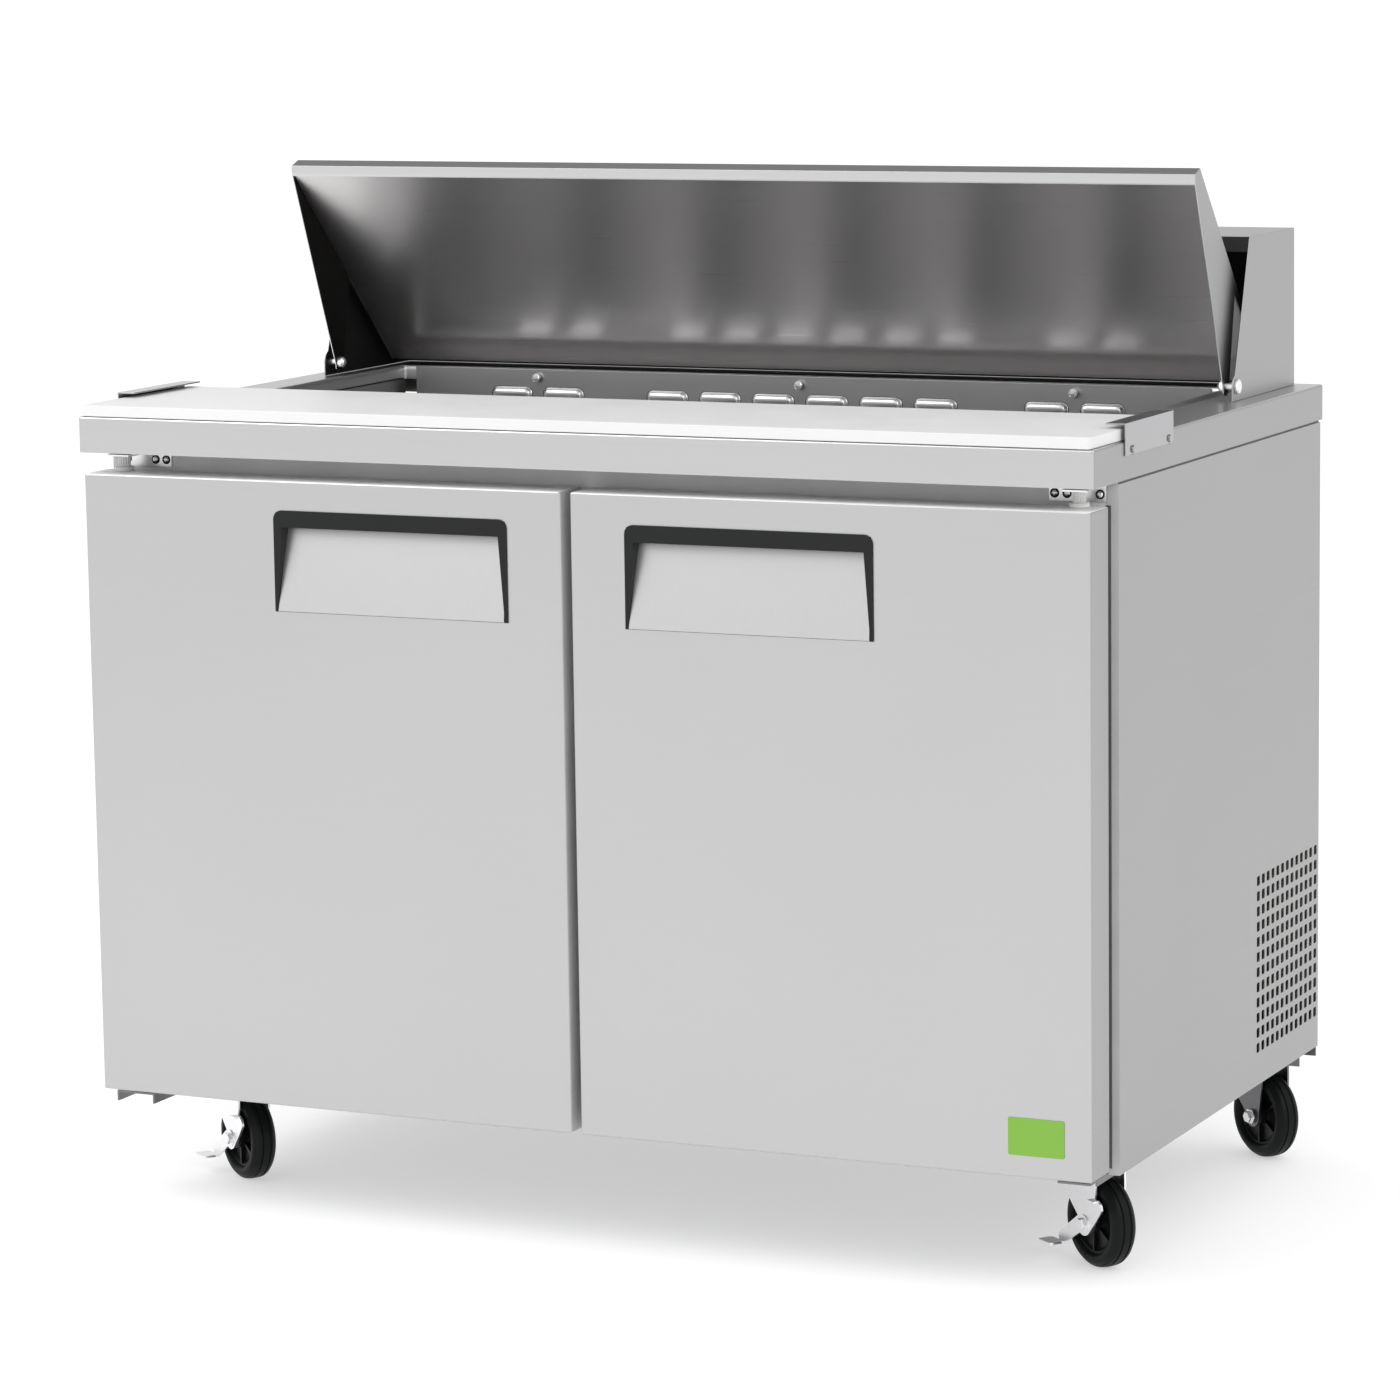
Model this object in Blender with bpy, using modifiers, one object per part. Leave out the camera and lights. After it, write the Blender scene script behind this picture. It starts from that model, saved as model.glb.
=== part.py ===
"""Two-door refrigerated sandwich prep table on casters, with its lid open.

Metres, +Z up. The origin is on the floor under the middle of the table. +X is to the right of
somebody who stands in front of it, and the doors face -Y. Depths are counted back from the
apron's front and heights up or down from the worktop, through depth() and height().
"""

import math

import bmesh
import bpy
from mathutils import Matrix, Vector

# ---- Driving dimensions ----
WIDTH = 1.2255  # 48 1/4 in
DEPTH = 0.762  # 30 in
WORK_HEIGHT = 0.9144  # 36 in
CASTER_HEIGHT = 0.127  # 5 in, floor to the base pan
SIDE = WIDTH / 2
SHEET = 0.0012
GAP = 0.0003  # between pieces that touch

# Worktop and pan well
APRON = 0.041
WELL_SIDE = 0.535
WELL_FRONT = 0.290
WELL_BACK = 0.640
WELL_FLOOR = -0.058
RIM_WIDTH = 0.008
RIM_RISE = 0.005
LEDGE = 0.014
BOARD_THICKNESS = 0.0127
BOARD_DEPTH = 0.238
BOARD_SIDE = 0.6085

# Pans: six third-size pans side by side
PAN_COUNT = 6
PAN_PITCH = 0.176
PAN_LENGTH = 0.324
PAN_DEPTH = 0.100
PAN_MIDDLE = 0.464
PAN_WALL = 0.0015

# Cabinet
CABINET_FRONT = 0.0735
CABINET_BACK = 0.7525
CABINET_TOP = -0.0435
CABINET_FLOOR = CASTER_HEIGHT - WORK_HEIGHT
CAVITY_SIDE = 0.560
CAVITY_TOP = -0.088
CAVITY_FLOOR = -0.738
CAVITY_BACK = 0.700
STEP_FRONT = 0.460
STEP_TOP = -0.480
MACHINE_FRONT = 0.505
MACHINE_TOP = -0.525
MULLION = 0.032

# Doors
DOOR_FRONT = 0.002
DOOR_BACK = 0.054
DOOR_INNER = 0.006
DOOR_OUTER = 0.608
DOOR_TOP = -0.065
DOOR_BOTTOM = -0.780
HINGE_SIDE = 0.580
HINGE_DEPTH = 0.044
PIN_RADIUS = 0.003

# Handle, on the door's inner half
HANDLE_INNER = 0.0715
HANDLE_OUTER = 0.363
HANDLE_TOP = -0.098
HANDLE_BOTTOM = -0.212

# Lid, hood and the axis that they share
PIVOT_DEPTH = 0.537
PIVOT_HEIGHT = 0.0165
LID_LEAN = math.radians(68)  # the lid's underside above level, when open
LID_REACH = 0.257
LID_DROP = 0.009  # the underside below the pivot, when shut
LID_SIDE = 0.571
LID_BACK = 0.675
HOOD_SIDE = 0.5835
HOOD_BACK = 0.744
HOOD_RISE = 0.183

# Casters
WHEEL_RADIUS = 0.0508
WHEEL_HALF_WIDTH = 0.015
TRAIL = 0.028
CASTER_ROWS = (("front", 0.535, 0.180), ("rear", 0.542, 0.7196))
CASTER_ANGLE = math.radians(-35)
LEG_INNER = 0.018
LEG_OUTER = 0.0205

STEEL = ("brushed_steel", (0.62, 0.63, 0.64), 0.32, 1.0)
POLISHED = ("polished_steel", (0.70, 0.71, 0.72), 0.12, 1.0)
ZINC = ("bright_zinc", (0.74, 0.75, 0.77), 0.25, 1.0)
BLACK_PLASTIC = ("black_plastic", (0.02, 0.02, 0.022), 0.45, 0.0)
BOARD_WHITE = ("white_polyethylene", (0.85, 0.85, 0.83), 0.5, 0.0)
FOAM = ("polyurethane_foam", (0.78, 0.70, 0.48), 0.9, 0.0)
LINER = ("liner_aluminium", (0.75, 0.76, 0.77), 0.4, 1.0)
GASKET = ("grey_gasket", (0.12, 0.12, 0.13), 0.7, 0.0)
RUBBER = ("black_rubber", (0.015, 0.015, 0.016), 0.6, 0.0)
COPPER = ("copper_and_fins", (0.72, 0.45, 0.30), 0.35, 1.0)
MACHINE_BLACK = ("black_enamel", (0.03, 0.03, 0.035), 0.35, 0.0)
PAN_STEEL = ("pan_steel", (0.66, 0.67, 0.68), 0.22, 1.0)
SHELF_COAT = ("white_epoxy", (0.82, 0.82, 0.80), 0.4, 0.0)

# The outline planes: each turns a drawing in X and Y to stand across one axis.
ACROSS = {
    "X": Matrix(((0, 0, 1, 0), (1, 0, 0, 0), (0, 1, 0, 0), (0, 0, 0, 1))),
    "Y": Matrix(((1, 0, 0, 0), (0, 0, -1, 0), (0, 1, 0, 0), (0, 0, 0, 1))),
    "Z": Matrix.Identity(4),
}


def depth(distance):
    """The Y of a place this far behind the apron's front."""
    return distance - DEPTH / 2


def height(rise):
    """The Z of a place this far above the worktop."""
    return WORK_HEIGHT + rise


# ---- Tools for making shapes ----
def clear_scene():
    for obj in list(bpy.data.objects):
        bpy.data.objects.remove(obj, do_unlink=True)


def new_collection(name):
    collection = bpy.data.collections.new(name)
    bpy.context.scene.collection.children.link(collection)
    return collection


clear_scene()
TABLE = new_collection("sandwich_prep_table")
TOOLS = new_collection("cutters")


def tool_object(name, mesh):
    """A mesh in the cutters' collection, which a node may cut with, join or become."""
    obj = bpy.data.objects.new(name, mesh)
    obj.hide_render = True
    obj.display_type = "WIRE"
    TOOLS.objects.link(obj)
    return obj


def mesh_from(bm, name):
    bmesh.ops.recalc_face_normals(bm, faces=bm.faces)
    if bm.calc_volume(signed=True) < 0:
        bmesh.ops.reverse_faces(bm, faces=bm.faces)
    mesh = bpy.data.meshes.new(name)
    bm.to_mesh(mesh)
    bm.free()
    return mesh


def boxes(corner_pairs, name="boxes"):
    """One object of several separate boxes, each from its lowest to its highest corner."""
    bm = bmesh.new()
    for low, high in corner_pairs:
        low, high = Vector(low), Vector(high)
        place = Matrix.Translation((low + high) / 2) @ Matrix.Diagonal((*(high - low), 1))
        bmesh.ops.create_cube(bm, size=1.0, matrix=place)
    return tool_object(name, mesh_from(bm, name))


def box(low, high, name="box"):
    return boxes([(low, high)], name)


def soft_box(low, high, radius, segments=2, name="soft_box"):
    """A box whose four upright edges are rounded."""
    obj = box(low, high, name)
    bm = bmesh.new()
    bm.from_mesh(obj.data)
    upright = [e for e in bm.edges if abs(e.verts[0].co.z - e.verts[1].co.z) > 1e-6]
    bmesh.ops.bevel(
        bm, geom=upright, offset=radius, segments=segments, affect="EDGES", profile=0.5
    )
    bm.to_mesh(obj.data)
    bm.free()
    return obj


def cylinder(centre, radius, length, axis="Z", segments=24, name="cylinder", tip=None):
    """A cylinder, or a cone where tip gives the radius of its far end."""
    bm = bmesh.new()
    bmesh.ops.create_cone(
        bm,
        cap_ends=True,
        segments=segments,
        radius1=radius,
        radius2=radius if tip is None else tip,
        depth=length,
        matrix=Matrix.Translation(centre) @ ACROSS[axis],
    )
    return tool_object(name, mesh_from(bm, name))


def prism(outline, low, high, axis="X", name="prism"):
    """An outline drawn across an axis, as deep as the two places along that axis."""
    curve = bpy.data.curves.new(name, "CURVE")
    curve.dimensions = "2D"
    curve.fill_mode = "BOTH"
    curve.extrude = (high - low) / 2
    spline = curve.splines.new("POLY")
    spline.points.add(len(outline) - 1)
    for point, (across, up) in zip(spline.points, outline):
        point.co = (across, up, 0, 1)
    spline.use_cyclic_u = True
    drawn = bpy.data.objects.new(name, curve)
    TOOLS.objects.link(drawn)
    middle = Vector([(low + high) / 2 if letter == axis else 0 for letter in "XYZ"])
    drawn.matrix_world = Matrix.Translation(middle) @ ACROSS[axis]
    bpy.context.view_layer.update()
    graph = bpy.context.evaluated_depsgraph_get()
    bm = bmesh.new()
    bm.from_mesh(bpy.data.meshes.new_from_object(drawn.evaluated_get(graph)))
    bmesh.ops.remove_doubles(bm, verts=bm.verts, dist=1e-6)
    bm.transform(drawn.matrix_world)
    bpy.data.objects.remove(drawn)
    return tool_object(name, mesh_from(bm, name))


def turned(profile, segments=24, name="turned"):
    """A profile of (radius, height) points, top to bottom, turned about the Z axis."""
    mesh = bpy.data.meshes.new(name)
    edges = [(i, i + 1) for i in range(len(profile) - 1)]
    mesh.from_pydata([(radius, 0, up) for radius, up in profile], edges, [])
    obj = tool_object(name, mesh)
    screw = obj.modifiers.new("turn", "SCREW")
    screw.steps = segments
    screw.render_steps = segments
    screw.use_merge_vertices = True
    screw.merge_threshold = 0.00001
    return obj


def combine(obj, operation, others):
    for other in others:
        modifier = obj.modifiers.new(operation.lower(), "BOOLEAN")
        modifier.operation = operation
        modifier.object = other
        modifier.solver = "EXACT"
    return obj


def cut(obj, *others):
    return combine(obj, "DIFFERENCE", others)


def fuse(obj, *others):
    return combine(obj, "UNION", others)


def overlap_of(obj, *others):
    return combine(obj, "INTERSECT", others)


def settled_mesh(obj, name):
    """The object's mesh with its modifiers applied, for copies that share it."""
    bpy.context.view_layer.update()
    graph = bpy.context.evaluated_depsgraph_get()
    mesh = bpy.data.meshes.new_from_object(obj.evaluated_get(graph))
    mesh.name = name
    return mesh


def material_of(finish):
    name, colour, roughness, metallic = finish
    material = bpy.data.materials.get(name)
    if material is None:
        material = bpy.data.materials.new(name)
        material.use_nodes = True
        shader = material.node_tree.nodes["Principled BSDF"]
        shader.inputs["Base Color"].default_value = (*colour, 1)
        shader.inputs["Roughness"].default_value = roughness
        shader.inputs["Metallic"].default_value = metallic
    return material


def node(name, obj, finish, holder=None, smooth=False):
    """Makes a shape a named piece of the table, carried by an empty on its joint's axis."""
    obj.name = name
    obj.hide_render = False
    obj.display_type = "TEXTURED"
    TOOLS.objects.unlink(obj)
    TABLE.objects.link(obj)
    obj.data.materials.clear()
    obj.data.materials.append(material_of(finish))
    if smooth:
        obj.data.shade_smooth()
        obj.data.set_sharp_from_angle(angle=math.radians(35))
    if holder is not None:
        obj.parent = holder
        obj.matrix_parent_inverse = holder.matrix_world.inverted()
    return obj


def copy_node(name, mesh, finish, holder, place=(0, 0, 0)):
    """A piece that shares its mesh, placed in its holder's own frame."""
    obj = bpy.data.objects.new(name, mesh)
    TABLE.objects.link(obj)
    if not mesh.materials:
        mesh.materials.append(material_of(finish))
    mesh.shade_smooth()
    mesh.set_sharp_from_angle(angle=math.radians(35))
    obj.parent = holder
    obj.location = place
    return obj


def holder_at(name, place, turn=0.0):
    empty = bpy.data.objects.new(name, None)
    empty.empty_display_size = 0.05
    empty.location = place
    empty.rotation_euler = (0, 0, turn)
    TABLE.objects.link(empty)
    bpy.context.view_layer.update()
    return empty


def arc(centre, radius, start, end, steps):
    """Points along an arc, from one angle to another in degrees."""
    return [
        (
            centre[0] + radius * math.cos(math.radians(start + (end - start) * i / steps)),
            centre[1] + radius * math.sin(math.radians(start + (end - start) * i / steps)),
        )
        for i in range(steps + 1)
    ]


def placed(outline):
    """An outline in depths and heights, as world Y and Z."""
    return [(depth(back), height(up)) for back, up in outline]


def mirror_low_high(side, near, far):
    """The lowest and highest X of a stretch that lies on one side of the middle."""
    return sorted((side * near, side * far))


def side_box(side, near, far, low_yz, high_yz, name="side_box"):
    """A box on one side of the middle, from depths and heights."""
    low_x, high_x = mirror_low_high(side, near, far)
    low = (low_x, depth(low_yz[0]), height(low_yz[1]))
    high = (high_x, depth(high_yz[0]), height(high_yz[1]))
    return box(low, high, name)


def middle_box(half, low_yz, high_yz, name="middle_box"):
    """A box centred on the middle, from depths and heights."""
    return side_box(1, -half, half, low_yz, high_yz, name)


SIDES = (("left", -1), ("right", 1))


# ---- Worktop and what lies on it ----
def make_worktop():
    top = middle_box(SIDE, (0, -APRON), (DEPTH, 0))
    hollow = middle_box(SIDE - SHEET, (SHEET, -1), (DEPTH - SHEET, -SHEET))
    well = middle_box(
        WELL_SIDE + SHEET, (WELL_FRONT - SHEET, WELL_FLOOR), (WELL_BACK + SHEET, -SHEET / 2)
    )
    rim = middle_box(
        WELL_SIDE + RIM_WIDTH,
        (WELL_FRONT - RIM_WIDTH, -SHEET / 2),
        (WELL_BACK + RIM_WIDTH, RIM_RISE),
    )
    opening = middle_box(
        WELL_SIDE, (WELL_FRONT, WELL_FLOOR + SHEET), (WELL_BACK, 2 * RIM_RISE)
    )
    inside_ledge = middle_box(WELL_SIDE - LEDGE, (WELL_FRONT + LEDGE, -1), (0.66, -0.03))
    # The rear wall of the well stops short, and the air duct's panel stands in front of it.
    below_rear_wall = middle_box(
        WELL_SIDE, (WELL_BACK - 0.001, -1), (WELL_BACK + 2 * SHEET, -0.012)
    )
    cut(top, hollow)
    fuse(top, well, rim)
    cut(top, opening, inside_ledge, below_rear_wall)
    node("worktop", top, STEEL)


def make_cutting_board(holder):
    board = soft_box(
        (-BOARD_SIDE, depth(0), height(GAP)),
        (BOARD_SIDE, depth(BOARD_DEPTH), height(GAP + BOARD_THICKNESS)),
        radius=0.004,
    )
    node("cutting_board", board, BOARD_WHITE, holder)


def make_board_brackets():
    """An angle at each end, whose flange keeps the board down."""
    front, back = 0.090, 0.239
    low, high = -0.0155, 0.019
    inner, outer = SIDE + GAP, SIDE + GAP + 0.0015
    for name, side in SIDES:
        plate = side_box(side, inner, outer, (front, low), (back, high))
        flange = side_box(side, 0.592, outer, (front, high - 0.0015), (back, high))
        fuse(plate, flange)
        for screw_depth in (0.112, 0.226):
            place = (side * (outer + 0.0007), depth(screw_depth), height(-0.010))
            fuse(plate, cylinder(place, 0.004, 0.003, "X", 12))
        node(f"board_bracket_{name}", plate, POLISHED)


# ---- Hood and lid ----
def make_rear_hood():
    lobe = arc((PIVOT_DEPTH, PIVOT_HEIGHT), 0.014, 180, 108, 4)
    outline = [(PIVOT_DEPTH - 0.014, GAP), *lobe, (0.582, HOOD_RISE)]
    outline += [(HOOD_BACK - 0.002, HOOD_RISE), (HOOD_BACK, GAP)]
    shell = prism(placed(outline), -HOOD_SIDE, HOOD_SIDE)
    inside = [
        (0.45, -0.01),
        (HOOD_BACK - SHEET, -0.01),
        (HOOD_BACK - 0.002 - SHEET, HOOD_RISE - SHEET),
        (0.5834, HOOD_RISE - SHEET),
        (0.5795, HOOD_RISE - 0.0175),
        (0.45, HOOD_RISE - 0.0175),
    ]
    cut(shell, prism(placed(inside), SHEET - HOOD_SIDE, HOOD_SIDE - SHEET))
    axis = (0, depth(PIVOT_DEPTH), height(PIVOT_HEIGHT))
    cut(shell, cylinder(axis, 0.0045, 3 * SIDE, "X", 16))
    node("rear_hood", shell, STEEL)


def lid_lines():
    """The lid's corners in depths and heights, open: its foot, front edge and skin."""
    down = (math.cos(LID_LEAN), -math.sin(LID_LEAN))
    foot = (
        PIVOT_DEPTH - LID_DROP * math.sin(LID_LEAN),
        PIVOT_HEIGHT - LID_DROP * math.cos(LID_LEAN),
    )
    lip = (foot[0] - LID_REACH * down[0], foot[1] - LID_REACH * down[1])
    lip_top = (lip[0], lip[1] + 0.0094)
    lip_back = (lip[0] + 0.0163, lip[1] + 0.0155)
    peak = (0.570, 0.1318)
    slope = (peak[1] - lip_back[1]) / (peak[0] - lip_back[0])
    skin_end = (LID_BACK, peak[1] + slope * (LID_BACK - peak[0]))
    liner_end = (LID_BACK, lip[1] - (LID_BACK - lip[0]))
    return foot, lip, lip_top, lip_back, peak, skin_end, liner_end


def inset(points, distance):
    """A line of points moved towards its right-hand side, its corners kept sharp."""
    lines = []
    for start, end in zip(points, points[1:]):
        along = (Vector(end) - Vector(start)).normalized()
        shift = Vector((along.y, -along.x)) * distance
        lines.append((Vector(start) + shift, Vector(end) + shift))
    corners = [lines[0][0]]
    for (start, end), (next_start, next_end) in zip(lines, lines[1:]):
        here, there = end - start, next_end - next_start
        reach = (next_start - start).cross(there) / here.cross(there)
        corners.append(start + here * reach)
    return [tuple(corner) for corner in (*corners, lines[-1][1])]


def make_lid(holder):
    """A bent skin with a cheek at each end; the insulated liner lies between the cheeks."""
    foot, lip, lip_top, lip_back, peak, skin_end, liner_end = lid_lines()
    below_pivot = arc((PIVOT_DEPTH, PIVOT_HEIGHT), 0.011, -10, -135, 4)
    slab = [lip, lip_top, lip_back, skin_end, liner_end]
    cheek_top = (0.567, lip[1] - (0.567 - lip[0]))
    shell = prism(placed([*slab, cheek_top, *below_pivot, foot]), -LID_SIDE, LID_SIDE)
    beyond = (0.72, peak[1] + (skin_end[1] - peak[1]) * (0.72 - peak[0]) / (LID_BACK - peak[0]))
    under_skin = inset([lip, lip_top, lip_back, beyond], SHEET)
    inside = [(lip[0] + SHEET, -0.1), *under_skin[1:], (0.72, -0.1)]
    axis = (0, depth(PIVOT_DEPTH), height(PIVOT_HEIGHT))
    cut(
        shell,
        prism(placed(inside), SHEET - LID_SIDE, LID_SIDE - SHEET),
        cylinder(axis, 0.0045, 3 * SIDE, "X", 16),
    )
    node("lid_shell", shell, STEEL, holder)

    step = SHEET + GAP
    over_core = inset([lip, lip_top, lip_back, skin_end], step)
    core = [(lip[0] + step, lip[1] - step), *over_core[1:], liner_end]
    width = LID_SIDE - step
    node("lid_liner", prism(placed(core), -width, width), POLISHED, holder)


def make_lid_pivots():
    """A bolt through the hood and the lid's cheek, with a flat round head and a dome nut."""
    inside, outside = 0.562, HOOD_SIDE + GAP
    profile = [
        (0, outside + 0.0035),
        (0.0075, outside + 0.0035),
        (0.0085, outside + 0.0025),
        (0.0085, outside),
        (0.004, outside),
        (0.004, LID_SIDE - SHEET - GAP),
        (0.007, LID_SIDE - SHEET - GAP),
        (0.0065, inside + 0.003),
        (0.0035, inside),
        (0, inside - 0.0008),
    ]
    for name, side in SIDES:
        bolt = turned(profile, 16)
        bolt.rotation_euler = (0, side * math.pi / 2, 0)
        bolt.location = (0, depth(PIVOT_DEPTH), height(PIVOT_HEIGHT))
        bpy.context.view_layer.update()
        node(f"lid_pivot_{name}", bolt, ZINC, smooth=True)


# ---- Pans, their frame and the cold air duct ----
def pan_columns():
    return [(i - (PAN_COUNT - 1) / 2) * PAN_PITCH for i in range(PAN_COUNT)]


def make_pan_frame():
    low, high = WELL_FLOOR + SHEET + GAP, WELL_FLOOR + SHEET + GAP + 0.0025
    frame = middle_box(WELL_SIDE - 0.0015, (WELL_FRONT + 0.0015, low), (0.6365, high))
    half = PAN_PITCH / 2 - 0.006
    holes = [
        (
            (x - half, depth(PAN_MIDDLE - 0.154), height(low - 0.01)),
            (x + half, depth(PAN_MIDDLE + 0.154), height(high + 0.01)),
        )
        for x in pan_columns()
    ]
    node("pan_support_frame", cut(frame, boxes(holes)), STEEL)
    return high + GAP


def tapered(half_x, half_y, top, floor, shrink, radius):
    """A round-cornered tub shape whose floor is smaller than its top."""
    tub = soft_box((-half_x, -half_y, floor), (half_x, half_y, top), radius, 3)
    for vertex in tub.data.vertices:
        if vertex.co.z < (top + floor) / 2:
            vertex.co.x *= 1 - shrink / half_x
            vertex.co.y *= 1 - shrink / half_y
    return tub


def make_pans(rest):
    """Six pans that hang by their rims; each lifts out on its own."""
    half_x, half_y = 0.0795, 0.1515
    flange = soft_box(
        (0.0008 - PAN_PITCH / 2, -PAN_LENGTH / 2, 0),
        (PAN_PITCH / 2 - 0.0008, PAN_LENGTH / 2, PAN_WALL),
        radius=0.012,
    )
    outside = tapered(half_x, half_y, PAN_WALL / 2, PAN_WALL - PAN_DEPTH, 0.006, 0.022)
    inside = tapered(
        half_x - PAN_WALL, half_y - PAN_WALL, 0.01, 2 * PAN_WALL - PAN_DEPTH, 0.006, 0.0205
    )
    mesh = settled_mesh(cut(fuse(flange, outside), inside), "food_pan")
    for number, x in enumerate(pan_columns(), 1):
        place = (x, depth(PAN_MIDDLE), height(rest))
        holder = holder_at(f"pan_{number}_lift", place)
        copy_node(f"food_pan_{number}", mesh, PAN_STEEL, holder)


def louvre_places():
    """A row of twelve places 70 mm apart, less the third from each end."""
    return [(i - 5.5) * 0.070 for i in range(12) if i not in (2, 9)]


FAN_HEIGHT = -0.250


def make_louvre_duct():
    """The removable air channel behind the pans: a front panel, two sides and a floor."""
    half, front, back = 0.518, 0.6382, 0.697
    low, high = -0.335, 0.0035
    duct = middle_box(half, (front, low), (back, high))
    cut(duct, middle_box(half - SHEET, (front + SHEET, low + SHEET), (back + 0.01, 0.1)))
    cut(duct, middle_box(1, (front + 1.4 * SHEET, -0.014), (back + 0.01, 0.1)))
    slots = [
        ((x - 0.021, depth(0.6), height(-0.0315)), (x + 0.021, depth(0.66), height(-0.0235)))
        for x in louvre_places()
    ]
    cut(duct, boxes(slots))
    inlet = cylinder((0, depth(front), height(FAN_HEIGHT)), 0.078, 0.03, "Y", 32)
    node("louvre_duct", cut(duct, inlet), STEEL)


def fan_mesh(radius, hub_radius, hub_length, name):
    """Five pitched blades on a hub, turned about Z."""
    hub = cylinder((0, 0, 0), hub_radius, hub_length, "Z", 16)
    for blade_number in range(5):
        blade = soft_box(
            (hub_radius - 0.004, -0.4 * radius / 2, -0.0008),
            (radius, 0.4 * radius / 2, 0.0008),
            0.16 * radius,
        )
        turn = Matrix.Rotation(blade_number * math.tau / 5, 4, "Z")
        pitch = Matrix.Rotation(math.radians(18), 4, "X")
        blade.data.transform(turn @ pitch)
        fuse(hub, blade)
    return settled_mesh(hub, name)


def make_evaporator(blade_holder):
    coil = middle_box(0.300, (0.648, -0.165), (0.690, -0.045))
    fins = [
        ((x - 0.004, depth(0.64), height(-0.155)), (x + 0.004, depth(0.660), height(-0.055)))
        for x in [-0.27 + 0.06 * i for i in range(10)]
    ]
    cut(coil, boxes(fins))
    node("evaporator_coil", coil, COPPER)

    motor = cylinder((0, depth(0.674), height(FAN_HEIGHT)), 0.026, 0.028, "Y", 20)
    arm = side_box(1, -0.095, 0.095, (0.668, FAN_HEIGHT - 0.006), (0.672, FAN_HEIGHT + 0.006))
    for _, side in SIDES:
        foot = side_box(
            side, 0.086, 0.095, (0.6405, FAN_HEIGHT - 0.006), (0.672, FAN_HEIGHT + 0.006)
        )
        fuse(arm, foot)
    node("evaporator_fan_motor", fuse(motor, arm), MACHINE_BLACK, smooth=True)

    mesh = fan_mesh(0.072, 0.018, 0.014, "evaporator_blade")
    blade = copy_node("evaporator_fan_blade", mesh, BLACK_PLASTIC, blade_holder)
    blade.rotation_euler = (math.pi / 2, 0, 0)


# ---- Cabinet ----
def cavity_outline(grow):
    """The cold space seen from the side, grown by a distance on every wall but the front."""
    return [
        (0.03, CAVITY_TOP + grow),
        (CAVITY_BACK + grow, CAVITY_TOP + grow),
        (CAVITY_BACK + grow, STEP_TOP - grow),
        (STEP_FRONT + grow, STEP_TOP - grow),
        (STEP_FRONT + grow, CAVITY_FLOOR - grow),
        (0.03, CAVITY_FLOOR - grow),
    ]


def well_hole(side, front):
    return middle_box(side, (front, CAVITY_TOP - 0.01), (CAVITY_BACK - 2 * SHEET, 0.2))


def make_insulation():
    front, back, top = 0.0902, 0.7490, -APRON - GAP
    floor = CABINET_FLOOR + SHEET + GAP
    outline = [
        (front, floor),
        (MACHINE_FRONT, floor),
        (MACHINE_FRONT, MACHINE_TOP),
        (back, MACHINE_TOP),
        (back, top),
        (front, top),
    ]
    foam = prism(placed(outline), 0.0018 - SIDE, SIDE - 0.0018)
    cut(foam, prism(placed(cavity_outline(0)), -CAVITY_SIDE, CAVITY_SIDE))
    node("cabinet_insulation", cut(foam, well_hole(WELL_SIDE + 0.010, 0.284)), FOAM)


def make_liner():
    outer = CAVITY_SIDE - GAP
    shell = prism(placed(cavity_outline(-GAP)), -outer, outer)
    front = middle_box(1, (0, -1), (0.0902, 0.1))
    cut(shell, front)
    inside = prism(placed(cavity_outline(-GAP - 0.001)), 0.001 - outer, outer - 0.001)
    cut(shell, inside, well_hole(WELL_SIDE + 0.008, 0.286))
    for _, side in SIDES:
        ledge = side_box(side, 0.548, outer - 0.0005, (0.105, -0.452), (0.600, -0.4485))
        fuse(shell, ledge)
    node("cabinet_liner", shell, LINER)


def make_face_frame():
    low, high = CABINET_FLOOR + SHEET + GAP, -APRON - GAP
    frame = middle_box(SIDE - 0.0018, (0.0748, low), (0.0899, high))
    for _, side in SIDES:
        opening = side_box(
            side, MULLION, CAVITY_SIDE - 0.002, (0, CAVITY_FLOOR), (0.1, CAVITY_TOP)
        )
        cut(frame, opening)
    node("face_frame", frame, LINER)


VENT_ROWS = 12
VENT_PITCH = 0.01765
VENT_TOP = -0.5487
VENT_HOLE = 0.011


def make_side_panels():
    for name, side in SIDES:
        outer, inner = SIDE - 0.0001, SIDE - 0.0001 - SHEET
        panel = side_box(
            side, inner, outer, (CABINET_FRONT, CABINET_FLOOR), (CABINET_BACK, CABINET_TOP)
        )
        flange = side_box(
            side, 0.600, outer, (CABINET_FRONT, CABINET_FLOOR), (0.0745, CABINET_TOP)
        )
        low_x, high_x = mirror_low_high(side, 0.59, 0.63)
        slots = []
        for row in range(VENT_ROWS):
            middle = VENT_TOP - row * VENT_PITCH
            slots.append(
                (
                    (low_x, depth(0.527), height(middle - VENT_HOLE / 2)),
                    (high_x, depth(0.746), height(middle + VENT_HOLE / 2)),
                )
            )
        node(f"side_panel_{name}", cut(fuse(panel, flange), boxes(slots)), STEEL)


def make_back_panel():
    panel = middle_box(SIDE - 0.0018, (0.7498, CABINET_FLOOR), (0.7510, CABINET_TOP))
    slots = [
        (
            (x - 0.075, depth(0.74), height(-0.555 - row * 0.022)),
            (x + 0.075, depth(0.76), height(-0.545 - row * 0.022)),
        )
        for x in (-0.36, 0.0, 0.36)
        for row in range(9)
    ]
    node("back_panel", cut(panel, boxes(slots)), STEEL)


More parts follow.
